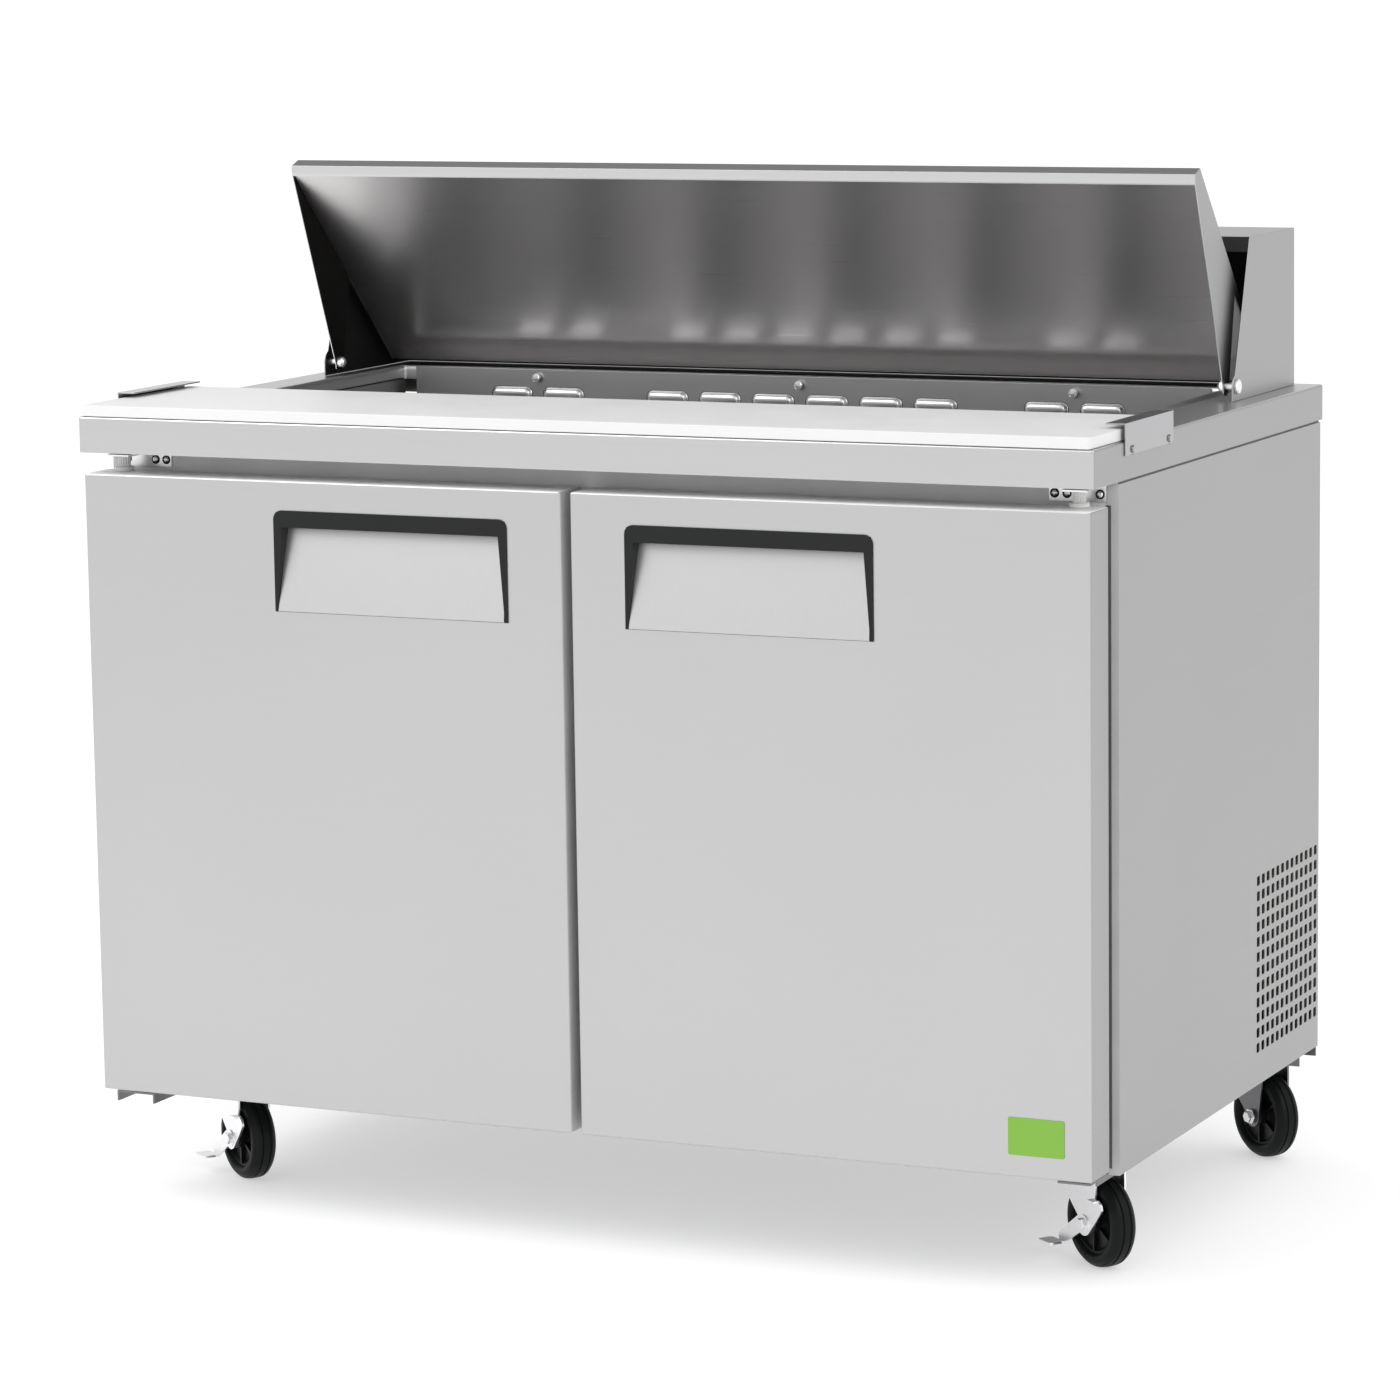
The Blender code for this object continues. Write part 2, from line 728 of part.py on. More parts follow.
def make_base_pan():
    """The floor sheet, ending in a channel that takes the rear casters."""
    low, top, drop = CABINET_FLOOR, CABINET_FLOOR + SHEET, CABINET_FLOOR - 0.0125
    outline = [
        (0.0750, top),
        (0.7490, top),
        (0.7490, low - GAP),
        (0.7522, low - GAP),
        (0.7522, drop),
        (0.7510, drop),
        (0.7510, low - GAP - SHEET),
        (0.7482, low - GAP - SHEET),
        (0.7482, low),
        (0.6907, low),
        (0.6907, drop),
        (0.6895, drop),
        (0.6895, low),
        (0.0750, low),
    ]
    node("base_pan", prism(placed(outline), 0.0020 - SIDE, SIDE - 0.0020), STEEL)


def make_hinge_brackets():
    """An angle with a pin above each door, and a ribbed plate with a pin below it.

    The left plate is the wider one, and its ribs hang lower.
    """
    for name, side in SIDES:
        pin_x = side * HINGE_SIDE
        plate = side_box(side, 0.535, 0.5995, (0.0722, -0.0632), (0.0745, -0.0420))
        arm = side_box(side, 0.566, 0.594, (0.030, -0.0480), (0.0730, -0.0455))
        pin = cylinder((pin_x, depth(HINGE_DEPTH), height(-0.0645)), PIN_RADIUS, 0.036, "Z", 12)
        node(f"hinge_bracket_top_{name}", fuse(plate, arm, pin), ZINC)

        top = CABINET_FLOOR - GAP
        outer, front, drop = (0.608, 0.030, 0.0125) if side < 0 else (0.596, 0.050, 0.0075)
        foot = side_box(side, 0.558, outer, (0.030, top - 0.0025), (0.135, top))
        for near, far in ((0.558, 0.5605), (outer - 0.0025, outer)):
            fuse(foot, side_box(side, near, far, (front, top - drop), (0.135, top - 0.001)))
        collar_middle = (top + DOOR_BOTTOM - 0.001) / 2
        collar_height = DOOR_BOTTOM - GAP - top + 0.001
        place = (pin_x, depth(HINGE_DEPTH), height(collar_middle))
        collar = cylinder(place, 0.008, collar_height, "Z", 16)
        place = (pin_x, depth(HINGE_DEPTH), height(top + 0.012))
        pin = cylinder(place, PIN_RADIUS, 0.028, "Z", 12)
        node(f"hinge_bracket_bottom_{name}", fuse(foot, collar, pin), ZINC)


def make_shelves():
    """Wire shelves drawn as slotted plates of the same size."""
    low, high = -0.4482, -0.4422
    for name, side in SIDES:
        shelf = side_box(side, 0.012, 0.556, (0.108, low), (0.598, high))
        slots = []
        for i in range(9):
            low_x, high_x = mirror_low_high(side, 0.0180 + 0.0595 * i, 0.0720 + 0.0595 * i)
            for front, back in ((0.114, 0.350), (0.356, 0.592)):
                slots.append(
                    (
                        (low_x, depth(front), height(low - 0.01)),
                        (high_x, depth(back), height(high + 0.01)),
                    )
                )
        node(f"shelf_{name}", cut(shelf, boxes(slots)), SHELF_COAT)


# ---- Machine compartment ----
def make_machinery(blade_holder, blade_place):
    floor = CABINET_FLOOR + SHEET + GAP
    middle = (0.12, depth(0.625))
    plate = box(
        (middle[0] - 0.085, middle[1] - 0.065, height(floor + 0.010)),
        (middle[0] + 0.085, middle[1] + 0.065, height(floor + 0.013)),
    )
    for x_step in (-0.070, 0.070):
        for y_step in (-0.050, 0.050):
            place = (middle[0] + x_step, middle[1] + y_step, height(floor + 0.006))
            fuse(plate, cylinder(place, 0.010, 0.012, "Z", 12))
    dome = [(0, 0.176), (0.030, 0.172), (0.052, 0.158), (0.063, 0.135), (0.066, 0.110)]
    dome += [(0.066, 0.092), (0.072, 0.090), (0.072, 0.082), (0.066, 0.080)]
    dome += [(0.066, 0.035), (0.056, 0.014), (0.040, 0.004), (0, 0.004)]
    shell = turned(dome, 18)
    shell.location = (*middle, height(floor + 0.005))
    bpy.context.view_layer.update()
    node("compressor", fuse(plate, shell), MACHINE_BLACK)

    coil = side_box(1, 0.500, 0.545, (0.520, floor), (0.735, MACHINE_TOP - 0.020))
    gaps = []
    for i in range(12):
        start = 0.530 + 0.0165 * i
        for low_x, high_x in ((0.49, 0.512), (0.533, 0.555)):
            gaps.append(
                (
                    (low_x, depth(start), height(floor + 0.015)),
                    (high_x, depth(start + 0.009), height(MACHINE_TOP - 0.035)),
                )
            )
    node("condenser_coil", cut(coil, boxes(gaps)), COPPER)

    x, y, z = blade_place
    motor = cylinder((x - 0.043, y, z), 0.034, 0.056, "X", 20)
    post = box((x - 0.062, y - 0.015, height(floor)), (x - 0.059, y + 0.015, z))
    foot = box((x - 0.100, y - 0.030, height(floor)), (x - 0.030, y + 0.030, height(floor + 0.003)))
    node("condenser_fan_motor", fuse(motor, post, foot), MACHINE_BLACK, smooth=True)
    mesh = fan_mesh(0.092, 0.020, 0.020, "condenser_blade")
    blade = copy_node("condenser_fan_blade", mesh, BLACK_PLASTIC, blade_holder)
    blade.rotation_euler = (0, math.pi / 2, 0)

    control = side_box(-1, 0.360, 0.500, (0.600, floor), (0.690, floor + 0.110))
    place = (-0.430, depth(0.692), height(floor + 0.060))
    node("control_box", fuse(control, cylinder(place, 0.018, 0.012, "Y", 20)), MACHINE_BLACK)


# ---- Doors ----
def make_handle(name, side, holder):
    """A black frame over the door's skin, with a finger pocket that is deepest at its top."""
    hole = 0.0024
    body = side_box(
        side,
        HANDLE_INNER + hole,
        HANDLE_OUTER - hole,
        (DOOR_FRONT - 0.0015, HANDLE_BOTTOM + hole),
        (0.0230, HANDLE_TOP - hole),
    )
    flange = side_box(
        side,
        HANDLE_INNER,
        HANDLE_OUTER,
        (DOOR_FRONT - 0.0015, HANDLE_BOTTOM),
        (DOOR_FRONT - GAP, HANDLE_TOP),
    )
    bar_bottom = HANDLE_TOP - 0.020
    side_view = [
        (-0.02, HANDLE_BOTTOM + 0.001),
        (-0.02, bar_bottom),
        (0.0085, bar_bottom),
        (0.0085, HANDLE_TOP - 0.0045),
        (0.0205, HANDLE_TOP - 0.0045),
        (0.0200, HANDLE_TOP - 0.0145),
        (0.0020, HANDLE_BOTTOM + 0.0045),
        (DOOR_FRONT - 0.0017, HANDLE_BOTTOM + 0.001),
    ]
    front_view = [
        (side * (HANDLE_INNER + 0.0045), height(HANDLE_BOTTOM - 0.01)),
        (side * (HANDLE_OUTER - 0.0045), height(HANDLE_BOTTOM - 0.01)),
        (side * (HANDLE_OUTER - 0.0105), height(HANDLE_TOP - 0.001)),
        (side * (HANDLE_INNER + 0.0105), height(HANDLE_TOP - 0.001)),
    ]
    low_x, high_x = mirror_low_high(side, HANDLE_INNER, HANDLE_OUTER)
    pocket = prism(placed(side_view), low_x, high_x)
    overlap_of(pocket, prism(front_view, depth(-0.03), depth(0.05), "Y"))
    node(f"door_{name}_handle", cut(fuse(body, flange), pocket), BLACK_PLASTIC, holder)


def make_door(name, side, holder):
    skin = side_box(
        side, DOOR_INNER, DOOR_OUTER, (DOOR_FRONT, DOOR_BOTTOM), (DOOR_BACK, DOOR_TOP)
    )
    inside = side_box(
        side,
        DOOR_INNER + SHEET,
        DOOR_OUTER - SHEET,
        (DOOR_FRONT + SHEET, DOOR_BOTTOM + SHEET),
        (DOOR_BACK + 0.01, DOOR_TOP - SHEET),
    )
    handle_hole = side_box(
        side,
        HANDLE_INNER + 0.002,
        HANDLE_OUTER - 0.002,
        (-0.01, HANDLE_BOTTOM + 0.002),
        (0.0235, HANDLE_TOP - 0.002),
    )
    pin_place = (side * HINGE_SIDE, depth(HINGE_DEPTH), height(DOOR_TOP))
    top_bore = cylinder(pin_place, PIN_RADIUS + 0.0005, 0.044, "Z", 12)
    pin_place = (side * HINGE_SIDE, depth(HINGE_DEPTH), height(DOOR_BOTTOM))
    bottom_bore = cylinder(pin_place, PIN_RADIUS + 0.0005, 0.044, "Z", 12)
    cut(skin, inside, handle_hole, top_bore, bottom_bore)
    node(f"door_{name}_panel", skin, STEEL, holder)

    step = SHEET + GAP
    core = side_box(
        side,
        DOOR_INNER + step,
        DOOR_OUTER - step,
        (DOOR_FRONT + step, DOOR_BOTTOM + step),
        (DOOR_BACK - GAP, DOOR_TOP - step),
    )
    raised = side_box(side, 0.042, 0.548, (0.050, -0.722), (0.064, -0.104))
    node(
        f"door_{name}_liner",
        cut(fuse(core, raised), handle_hole, top_bore, bottom_bore),
        LINER,
        holder,
    )

    gasket = side_box(side, 0.012, 0.582, (DOOR_BACK, -0.760), (0.0738, -0.069))
    window = side_box(side, 0.028, 0.566, (0, -0.744), (0.1, -0.085))
    node(f"door_{name}_gasket", cut(gasket, window), GASKET, holder)
    make_handle(name, side, holder)


# ---- Casters ----
def wheel_mesh():
    """A tyre with rounded shoulders on a dished hub, turned about its axle along Y."""
    half, hub_half = WHEEL_HALF_WIDTH, 0.0165
    upper = [
        (0.0045, hub_half),
        (0.0130, hub_half),
        (0.0150, half - 0.006),
        (0.0340, half - 0.006),
        (0.0380, half),
        (0.0470, half - 0.001),
        (WHEEL_RADIUS, half - 0.007),
    ]
    lower = [(radius, -up) for radius, up in reversed(upper)]
    wheel = turned(upper + lower + upper[:1], 24)
    mesh = settled_mesh(wheel, "caster_wheel")
    mesh.transform(ACROSS["Y"])
    return mesh


def fork_mesh():
    """A channel cut to two legs under a round crown, with the axle bolt through them."""
    crown_top = CASTER_HEIGHT - 0.0137
    channel = [
        (-LEG_OUTER, 0),
        (-LEG_INNER, 0),
        (-LEG_INNER, crown_top - 0.003),
        (LEG_INNER, crown_top - 0.003),
        (LEG_INNER, 0),
        (LEG_OUTER, 0),
        (LEG_OUTER, crown_top),
        (-LEG_OUTER, crown_top),
    ]
    fork = prism(channel, -0.1, 0.1)
    end = arc((TRAIL, WHEEL_RADIUS), 0.010, 10, -190, 6)
    side_view = prism([(-0.016, 0.2), (0.020, 0.2), (0.020, crown_top), *end], -0.1, 0.1, "Y")
    crown = cylinder((0, 0, crown_top - 0.0012), 0.0235, 0.003, "Z", 20)
    bolt = cylinder((TRAIL, 0, WHEEL_RADIUS), 0.004, 0.052, "Y", 12)
    fuse(overlap_of(fork, side_view), crown, bolt)
    for side in (-1, 1):
        head = (TRAIL, side * 0.0265, WHEEL_RADIUS)
        fuse(fork, cylinder(head, 0.0075, 0.0045, "Y", 6))
    return settled_mesh(fork, "caster_fork")


def brake_mesh():
    """A pedal outside the fork's front leg, in the frame of the axle."""
    lever = [
        (-0.064, -0.030),
        (-0.036, -0.030),
        *arc((0, 0), 0.012, 235, 325, 3),
        (0.040, 0.029),
        (0.036, 0.038),
        (0.028, 0.040),
        (-0.038, -0.018),
        (-0.064, -0.024),
    ]
    outer, inner = -LEG_OUTER - 0.0028, -LEG_OUTER - GAP
    plate = prism(lever, outer, inner, "Y")
    pedal = box((-0.066, outer - 0.018, -0.0295), (-0.046, inner - 0.0005, -0.0270))
    bore = cylinder((0, 0, 0), 0.0045, 0.08, "Y", 12)
    return settled_mesh(cut(fuse(plate, pedal), bore), "brake_pedal")


def plate_mesh():
    """The mounting plate under the cabinet with its swivel race."""
    top = CASTER_HEIGHT - GAP
    plate = soft_box((-0.0475, -0.0283, top - 0.003), (0.0475, 0.0283, top), 0.005)
    race = cylinder((0, 0, top - 0.0075), 0.020, 0.0105, "Z", 24, tip=0.0245)
    fuse(plate, race)
    return settled_mesh(plate, "caster_plate")


def make_casters():
    plate, fork, wheel, brake = plate_mesh(), fork_mesh(), wheel_mesh(), brake_mesh()
    for row, out, back in CASTER_ROWS:
        for name, side in SIDES:
            corner = f"{row}_{name}"
            place = (side * out, depth(back), 0)
            fixed = holder_at(f"caster_{corner}_mount", place)
            copy_node(f"caster_plate_{corner}", plate, ZINC, fixed)
            swivel = holder_at(f"caster_{corner}_swivel", place, CASTER_ANGLE)
            copy_node(f"caster_fork_{corner}", fork, ZINC, swivel)
            axle = (TRAIL, 0, WHEEL_RADIUS)
            copy_node(f"caster_wheel_{corner}", wheel, RUBBER, swivel, axle)
            if row == "front":
                copy_node(f"brake_pedal_{corner}", brake, ZINC, swivel, axle)


def main():
    make_worktop()
    board = holder_at("board_slide", (0, depth(0), height(0)))
    make_cutting_board(board)
    make_board_brackets()
    make_rear_hood()
    lid = holder_at("lid_hinge", (0, depth(PIVOT_DEPTH), height(PIVOT_HEIGHT)))
    make_lid(lid)
    make_lid_pivots()
    make_pans(make_pan_frame())
    make_louvre_duct()
    make_evaporator(holder_at("evaporator_fan", (0, depth(0.651), height(FAN_HEIGHT))))
    make_insulation()
    make_liner()
    make_face_frame()
    make_side_panels()
    make_back_panel()
    make_base_pan()
    make_hinge_brackets()
    make_shelves()
    blade_place = (0.480, depth(0.6275), height(-0.660))
    make_machinery(holder_at("condenser_fan", blade_place), blade_place)
    for name, side in SIDES:
        place = (side * HINGE_SIDE, depth(HINGE_DEPTH), height(DOOR_TOP))
        make_door(name, side, holder_at(f"door_{name}_hinge", place))
    make_casters()


main()
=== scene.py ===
"""The looks of a two-door refrigerated sandwich prep table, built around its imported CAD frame.

Metres, +Z up, origin on the floor under the middle of the table, doors towards -Y. Depths are
counted back from the apron's front and heights from the worktop, as in depth() and height().
"""

import math

import bmesh
import bpy
from mathutils import Matrix, Vector


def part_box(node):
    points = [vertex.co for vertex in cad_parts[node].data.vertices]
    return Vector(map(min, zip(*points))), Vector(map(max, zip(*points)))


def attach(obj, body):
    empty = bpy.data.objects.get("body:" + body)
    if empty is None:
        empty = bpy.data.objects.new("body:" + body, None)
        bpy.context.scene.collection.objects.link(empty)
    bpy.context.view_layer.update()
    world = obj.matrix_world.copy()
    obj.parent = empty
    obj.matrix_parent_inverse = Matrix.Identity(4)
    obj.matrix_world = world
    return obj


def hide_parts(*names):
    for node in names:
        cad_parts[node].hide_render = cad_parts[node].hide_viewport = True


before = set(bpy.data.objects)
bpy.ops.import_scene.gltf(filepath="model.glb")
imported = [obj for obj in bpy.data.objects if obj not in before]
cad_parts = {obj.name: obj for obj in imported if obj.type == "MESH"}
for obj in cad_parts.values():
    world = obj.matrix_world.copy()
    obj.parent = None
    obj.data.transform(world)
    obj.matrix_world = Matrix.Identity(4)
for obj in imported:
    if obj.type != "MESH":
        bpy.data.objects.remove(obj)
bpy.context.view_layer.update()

DEPTH = 0.762
WORK_HEIGHT = 0.9144
SIDE = 1.2255 / 2
SHEET = 0.0012
SIDES = (("left", -1), ("right", 1))


def depth(distance):
    return distance - DEPTH / 2


def height(rise):
    return WORK_HEIGHT + rise


# ---- Materials ----
def nodes_of(name):
    material = bpy.data.materials.new(name)
    material.use_nodes = True
    tree = material.node_tree
    return material, tree, tree.nodes["Principled BSDF"]


def grain_factor(tree, scale, detail=4.0):
    """Noise stretched by the scale along each axis of the object, in cycles per metre."""
    coordinates = tree.nodes.new("ShaderNodeTexCoord")
    mapping = tree.nodes.new("ShaderNodeMapping")
    mapping.inputs["Scale"].default_value = scale
    noise = tree.nodes.new("ShaderNodeTexNoise")
    noise.inputs["Scale"].default_value = 1.0
    noise.inputs["Detail"].default_value = detail
    tree.links.new(coordinates.outputs["Object"], mapping.inputs["Vector"])
    tree.links.new(mapping.outputs["Vector"], noise.inputs["Vector"])
    return noise.outputs["Fac"]


def ramp(tree, factor, low, high):
    node = tree.nodes.new("ShaderNodeMapRange")
    node.inputs["From Min"].default_value = 0.25
    node.inputs["From Max"].default_value = 0.75
    node.inputs["To Min"].default_value = low
    node.inputs["To Max"].default_value = high
    tree.links.new(factor, node.inputs["Value"])
    return node.outputs["Result"]


def tinted(tree, factor, colour, spread):
    """The colour, a little darker and lighter along the factor."""
    mix = tree.nodes.new("ShaderNodeMix")
    mix.data_type = "RGBA"
    mix.inputs["A"].default_value = (*[c * (1 - spread) for c in colour], 1)
    mix.inputs["B"].default_value = (*[c * (1 + spread) for c in colour], 1)
    tree.links.new(factor, mix.inputs["Factor"])
    return mix.outputs["Result"]


def bumped(tree, shader, factor, strength, distance):
    bump = tree.nodes.new("ShaderNodeBump")
    bump.inputs["Strength"].default_value = strength
    bump.inputs["Distance"].default_value = distance
    tree.links.new(factor, bump.inputs["Height"])
    tree.links.new(bump.outputs["Normal"], shader.inputs["Normal"])


def metal(name, colour, roughness, scale=(4, 700, 700), spread=0.02, bump=0.05):
    """Brushed or plated metal: fine streaks in tone, gloss and height, over broad soft stains."""
    material, tree, shader = nodes_of(name)
    streaks = grain_factor(tree, scale)
    stains = grain_factor(tree, (3, 3, 3), 2.0)
    both = tree.nodes.new("ShaderNodeMath")
    both.operation = "MULTIPLY_ADD"
    both.inputs[1].default_value = 0.5
    tree.links.new(streaks, both.inputs[0])
    half = tree.nodes.new("ShaderNodeMath")
    half.operation = "MULTIPLY"
    half.inputs[1].default_value = 0.5
    tree.links.new(stains, half.inputs[0])
    tree.links.new(half.outputs["Value"], both.inputs[2])
    colour_factor = ramp(tree, both.outputs["Value"], 0, 1)
    tree.links.new(tinted(tree, colour_factor, colour, spread), shader.inputs["Base Color"])
    gloss = ramp(tree, streaks, roughness - 0.03, roughness + 0.03)
    tree.links.new(gloss, shader.inputs["Roughness"])
    shader.inputs["Metallic"].default_value = 1.0
    bumped(tree, shader, streaks, bump, 0.0002)
    return material


def plastic(name, colour, roughness, scale=900.0, bump=0.1, spread=0.06, specular=0.5):
    """Moulded plastic, rubber, foam or enamel: a fine even grain."""
    material, tree, shader = nodes_of(name)
    shader.inputs["Specular IOR Level"].default_value = specular
    grain = grain_factor(tree, (scale, scale, scale), 3.0)
    blotches = grain_factor(tree, (14, 14, 14), 3.0)
    tint = ramp(tree, blotches, 0, 1)
    tree.links.new(tinted(tree, tint, colour, spread), shader.inputs["Base Color"])
    gloss = ramp(tree, blotches, roughness - 0.04, roughness + 0.04)
    tree.links.new(gloss, shader.inputs["Roughness"])
    bumped(tree, shader, grain, bump, 0.0003)
    return material


FRONT = metal("steel_front", (0.515, 0.515, 0.515), 0.36)
# Painted shade: a darker copy of the steel, for faces that turn sideways or back, away from the
# light.
SHADED_SIDE_STEEL = metal("steel_side_painted_shade", (0.41, 0.41, 0.41), 0.42, (700, 4, 700))
TOP_STEEL = metal("steel_top", (0.55, 0.55, 0.553), 0.32)
HEADER = metal("steel_header", (0.55, 0.55, 0.55), 0.38)
# Painted light: a lighter copy of the duct's steel, for the louvres' raised faces.
LIT_LOUVRE_STEEL = metal("steel_louvre_painted_light", (0.66, 0.66, 0.665), 0.28)
DUCT = metal("steel_duct", (0.46, 0.46, 0.465), 0.34)
PLATE = metal("steel_handle_plate", (0.52, 0.52, 0.52), 0.40, (500, 500, 5))
LID_STEEL = metal("steel_lid", (0.58, 0.58, 0.585), 0.30)
# Painted shade: a near-black copy of the lid steel, for the shell's upward faces.
LID_EDGE_SHADE = metal("steel_lid_edge_painted_shade", (0.16, 0.16, 0.162), 0.34)
MIRROR = metal("steel_lid_liner", (0.66, 0.645, 0.64), 0.30, (4, 500, 500), 0.015, 0.03)
PAN_STEEL = metal("steel_pan", (0.42, 0.42, 0.425), 0.36, (300, 300, 6))
POLISHED = metal("steel_polished", (0.42, 0.42, 0.43), 0.14, (5, 400, 400))
ZINC = metal("bright_zinc", (0.90, 0.90, 0.91), 0.30, (120, 120, 120), 0.03)
# A dark copy of the bright zinc; on the rear casters and the bottom hinge brackets, whose twins
# are bright zinc, the darkness is painted shade.
DARK_ZINC_AND_SHADE = metal("dark_zinc_and_painted_shade", (0.20, 0.20, 0.21), 0.34, (120, 120, 120), 0.05)
ALUMINIUM = metal("liner_aluminium", (0.72, 0.73, 0.74), 0.42, (260, 260, 260), 0.03)
FINS = metal("coil_fins", (0.62, 0.63, 0.64), 0.4, (600, 600, 600), 0.05)
COPPER = metal("copper_tube", (0.80, 0.42, 0.28), 0.28, (80, 80, 80), 0.06)
BLACK = plastic("handle_black", (0.009, 0.0095, 0.010), 0.44, specular=0.24)
LID_CHEEK = plastic("lid_end_lining", (0.005, 0.0045, 0.004), 0.4, specular=0.12)
# Near black: the hood's inner faces, and painted shade at the louvres' bases, in their openings
# and in the hinge screw holes.
HOOD_BLACK_AND_SHADE = plastic("hood_black_and_painted_shade", (0.010, 0.010, 0.010), 0.5, specular=0.2)
# Painted light: a diffuse grey in place of steel on edge faces in narrow shaded gaps, so that
# they look lit.
GREY_PAINTED_LIGHT = plastic("edge_painted_light", (0.50, 0.50, 0.50), 0.45, 500.0, 0.05)
# Painted light: a near-white diffuse in place of steel on the door tops and the face frame's
# front, which sit in the apron's shade.
WHITE_PAINTED_LIGHT = plastic("white_painted_light", (0.86, 0.86, 0.86), 0.4, 500.0, 0.05)
NYLON = plastic("white_nylon", (0.78, 0.78, 0.77), 0.38, 500.0)
BOARD = plastic("board_polyethylene", (0.71, 0.71, 0.71), 0.44, 260.0, 0.12, 0.01)
VINYL = plastic("gasket_vinyl", (0.10, 0.10, 0.105), 0.62)
RUBBER = plastic("wheel_rubber", (0.005, 0.006, 0.006), 0.46, specular=0.15)
HUB = plastic("wheel_hub", (0.005, 0.005, 0.006), 0.34, specular=0.25)
FOAM = plastic("insulation_foam", (0.74, 0.66, 0.42), 0.85, 300.0, 0.5)
CORE = plastic("door_inner_pan", (0.74, 0.74, 0.73), 0.4, 500.0, 0.05, 0.015)
ENAMEL = plastic("black_enamel", (0.02, 0.02, 0.023), 0.3, 700.0, 0.05)
EPOXY = plastic("shelf_epoxy", (0.80, 0.80, 0.78), 0.34, 500.0, 0.05, 0.02)
GREEN = plastic("plain_green_label", (0.20, 0.42, 0.055), 0.5, 600.0, 0.03, 0.02, 0.3)


# ---- Shapes ----
def linked(name, data):
    """A new object for some data, in the scene."""
    obj = bpy.data.objects.new(name, data)
    bpy.context.scene.collection.objects.link(obj)
    return obj


def mesh_object(bm, name):
    mesh = bpy.data.meshes.new(name)
    bm.to_mesh(mesh)
    bm.free()
    return linked(name, mesh)


def object_from(bm, name):
    """A closed shape, with its faces turned outwards."""
    bmesh.ops.recalc_face_normals(bm, faces=bm.faces)
    if bm.calc_volume(signed=True) < 0:
        bmesh.ops.reverse_faces(bm, faces=bm.faces)
    return mesh_object(bm, name)


def boxes(pairs, name="box", radius=0.0, axis="Z"):
    """Separate boxes from corner pairs; with a radius, the edges along one axis are rounded."""
    bm = bmesh.new()
    for low, high in pairs:
        low, high = Vector(low), Vector(high)
        place = Matrix.Translation((low + high) / 2) @ Matrix.Diagonal((*(high - low), 1))
        bmesh.ops.create_cube(bm, size=1.0, matrix=place)
    if radius:
        index = "XYZ".index(axis)
        along = []
        for edge in bm.edges:
            direction = (edge.verts[0].co - edge.verts[1].co).normalized()
            if direction[index] ** 2 > 0.99:
                along.append(edge)
        bmesh.ops.bevel(bm, geom=along, offset=radius, segments=3, affect="EDGES", profile=0.5)
    return object_from(bm, name)


def block(side, near, far, low_yz, high_yz, name="box", radius=0.0, axis="Z"):
    """A box on one side of the middle, from depths and heights."""
    low_x, high_x = sorted((side * near, side * far))
    low = (low_x, depth(low_yz[0]), height(low_yz[1]))
    high = (high_x, depth(high_yz[0]), height(high_yz[1]))
    return boxes([(low, high)], name, radius, axis)


ACROSS = {
    "X": Matrix(((0, 0, 1, 0), (1, 0, 0, 0), (0, 1, 0, 0), (0, 0, 0, 1))),
    "Y": Matrix(((1, 0, 0, 0), (0, 0, -1, 0), (0, 1, 0, 0), (0, 0, 0, 1))),
    "Z": Matrix.Identity(4),
}


def prism(outline, low, high, axis="X", name="prism"):
    """An outline drawn across an axis, between two places along that axis."""
    start, end = (-high, -low) if axis == "Y" else (low, high)
    bm = bmesh.new()
    face = bm.faces.new([bm.verts.new((a, b, start)) for a, b in outline])
    moved = bmesh.ops.extrude_face_region(bm, geom=[face])["geom"]
    for vertex in moved:
        if isinstance(vertex, bmesh.types.BMVert):
            vertex.co.z = end
    bm.transform(ACROSS[axis])
    return object_from(bm, name)


def rod(centre, radius, length, axis="Z", segments=24, name="rod"):
    """A cylinder about a point, along an axis."""
    bm = bmesh.new()
    bmesh.ops.create_cone(
        bm,
        cap_ends=True,
        segments=segments,
        radius1=radius,
        radius2=radius,
        depth=length,
        matrix=Matrix.Translation(centre) @ ACROSS[axis],
    )
    return object_from(bm, name)


def turned(profile, place, segments=48, name="turned"):
    """A (radius, height) profile, top to bottom, turned about Z and then placed by a matrix."""
    bm = bmesh.new()
    points = [bm.verts.new((radius, 0, up)) for radius, up in profile]
    edges = [bm.edges.new(pair) for pair in zip(points, points[1:])]
    bmesh.ops.spin(
        bm,
        geom=[*points, *edges],
        cent=(0, 0, 0),
        axis=(0, 0, 1),
        angle=math.tau,
        steps=segments,
        use_merge=True,
    )
    bmesh.ops.remove_doubles(bm, verts=bm.verts, dist=1e-6)
    bm.transform(place)
    return object_from(bm, name)


def wires(lines, radius, name, cyclic=False, resolution=3):
    """Round wires along lines of points, as one curve made into a mesh."""
    curve = bpy.data.curves.new(name, "CURVE")
    curve.dimensions = "3D"
    curve.bevel_depth = radius
    curve.bevel_resolution = resolution
    curve.use_fill_caps = True
    for line in lines:
        spline = curve.splines.new("POLY")
        spline.points.add(len(line) - 1)
        for point, place in zip(spline.points, line):
            point.co = (*place, 1)
        spline.use_cyclic_u = cyclic
    obj = linked(name, curve)
    bpy.context.view_layer.update()
    mesh = bpy.data.meshes.new_from_object(
        obj.evaluated_get(bpy.context.evaluated_depsgraph_get())
    )
    bpy.data.objects.remove(obj)
    return linked(name, mesh)


def settle(obj):
    """Applies the object's modifiers."""
    bpy.context.view_layer.update()
    graph = bpy.context.evaluated_depsgraph_get()
    mesh = bpy.data.meshes.new_from_object(obj.evaluated_get(graph))
    obj.modifiers.clear()
    obj.data = mesh
    return obj


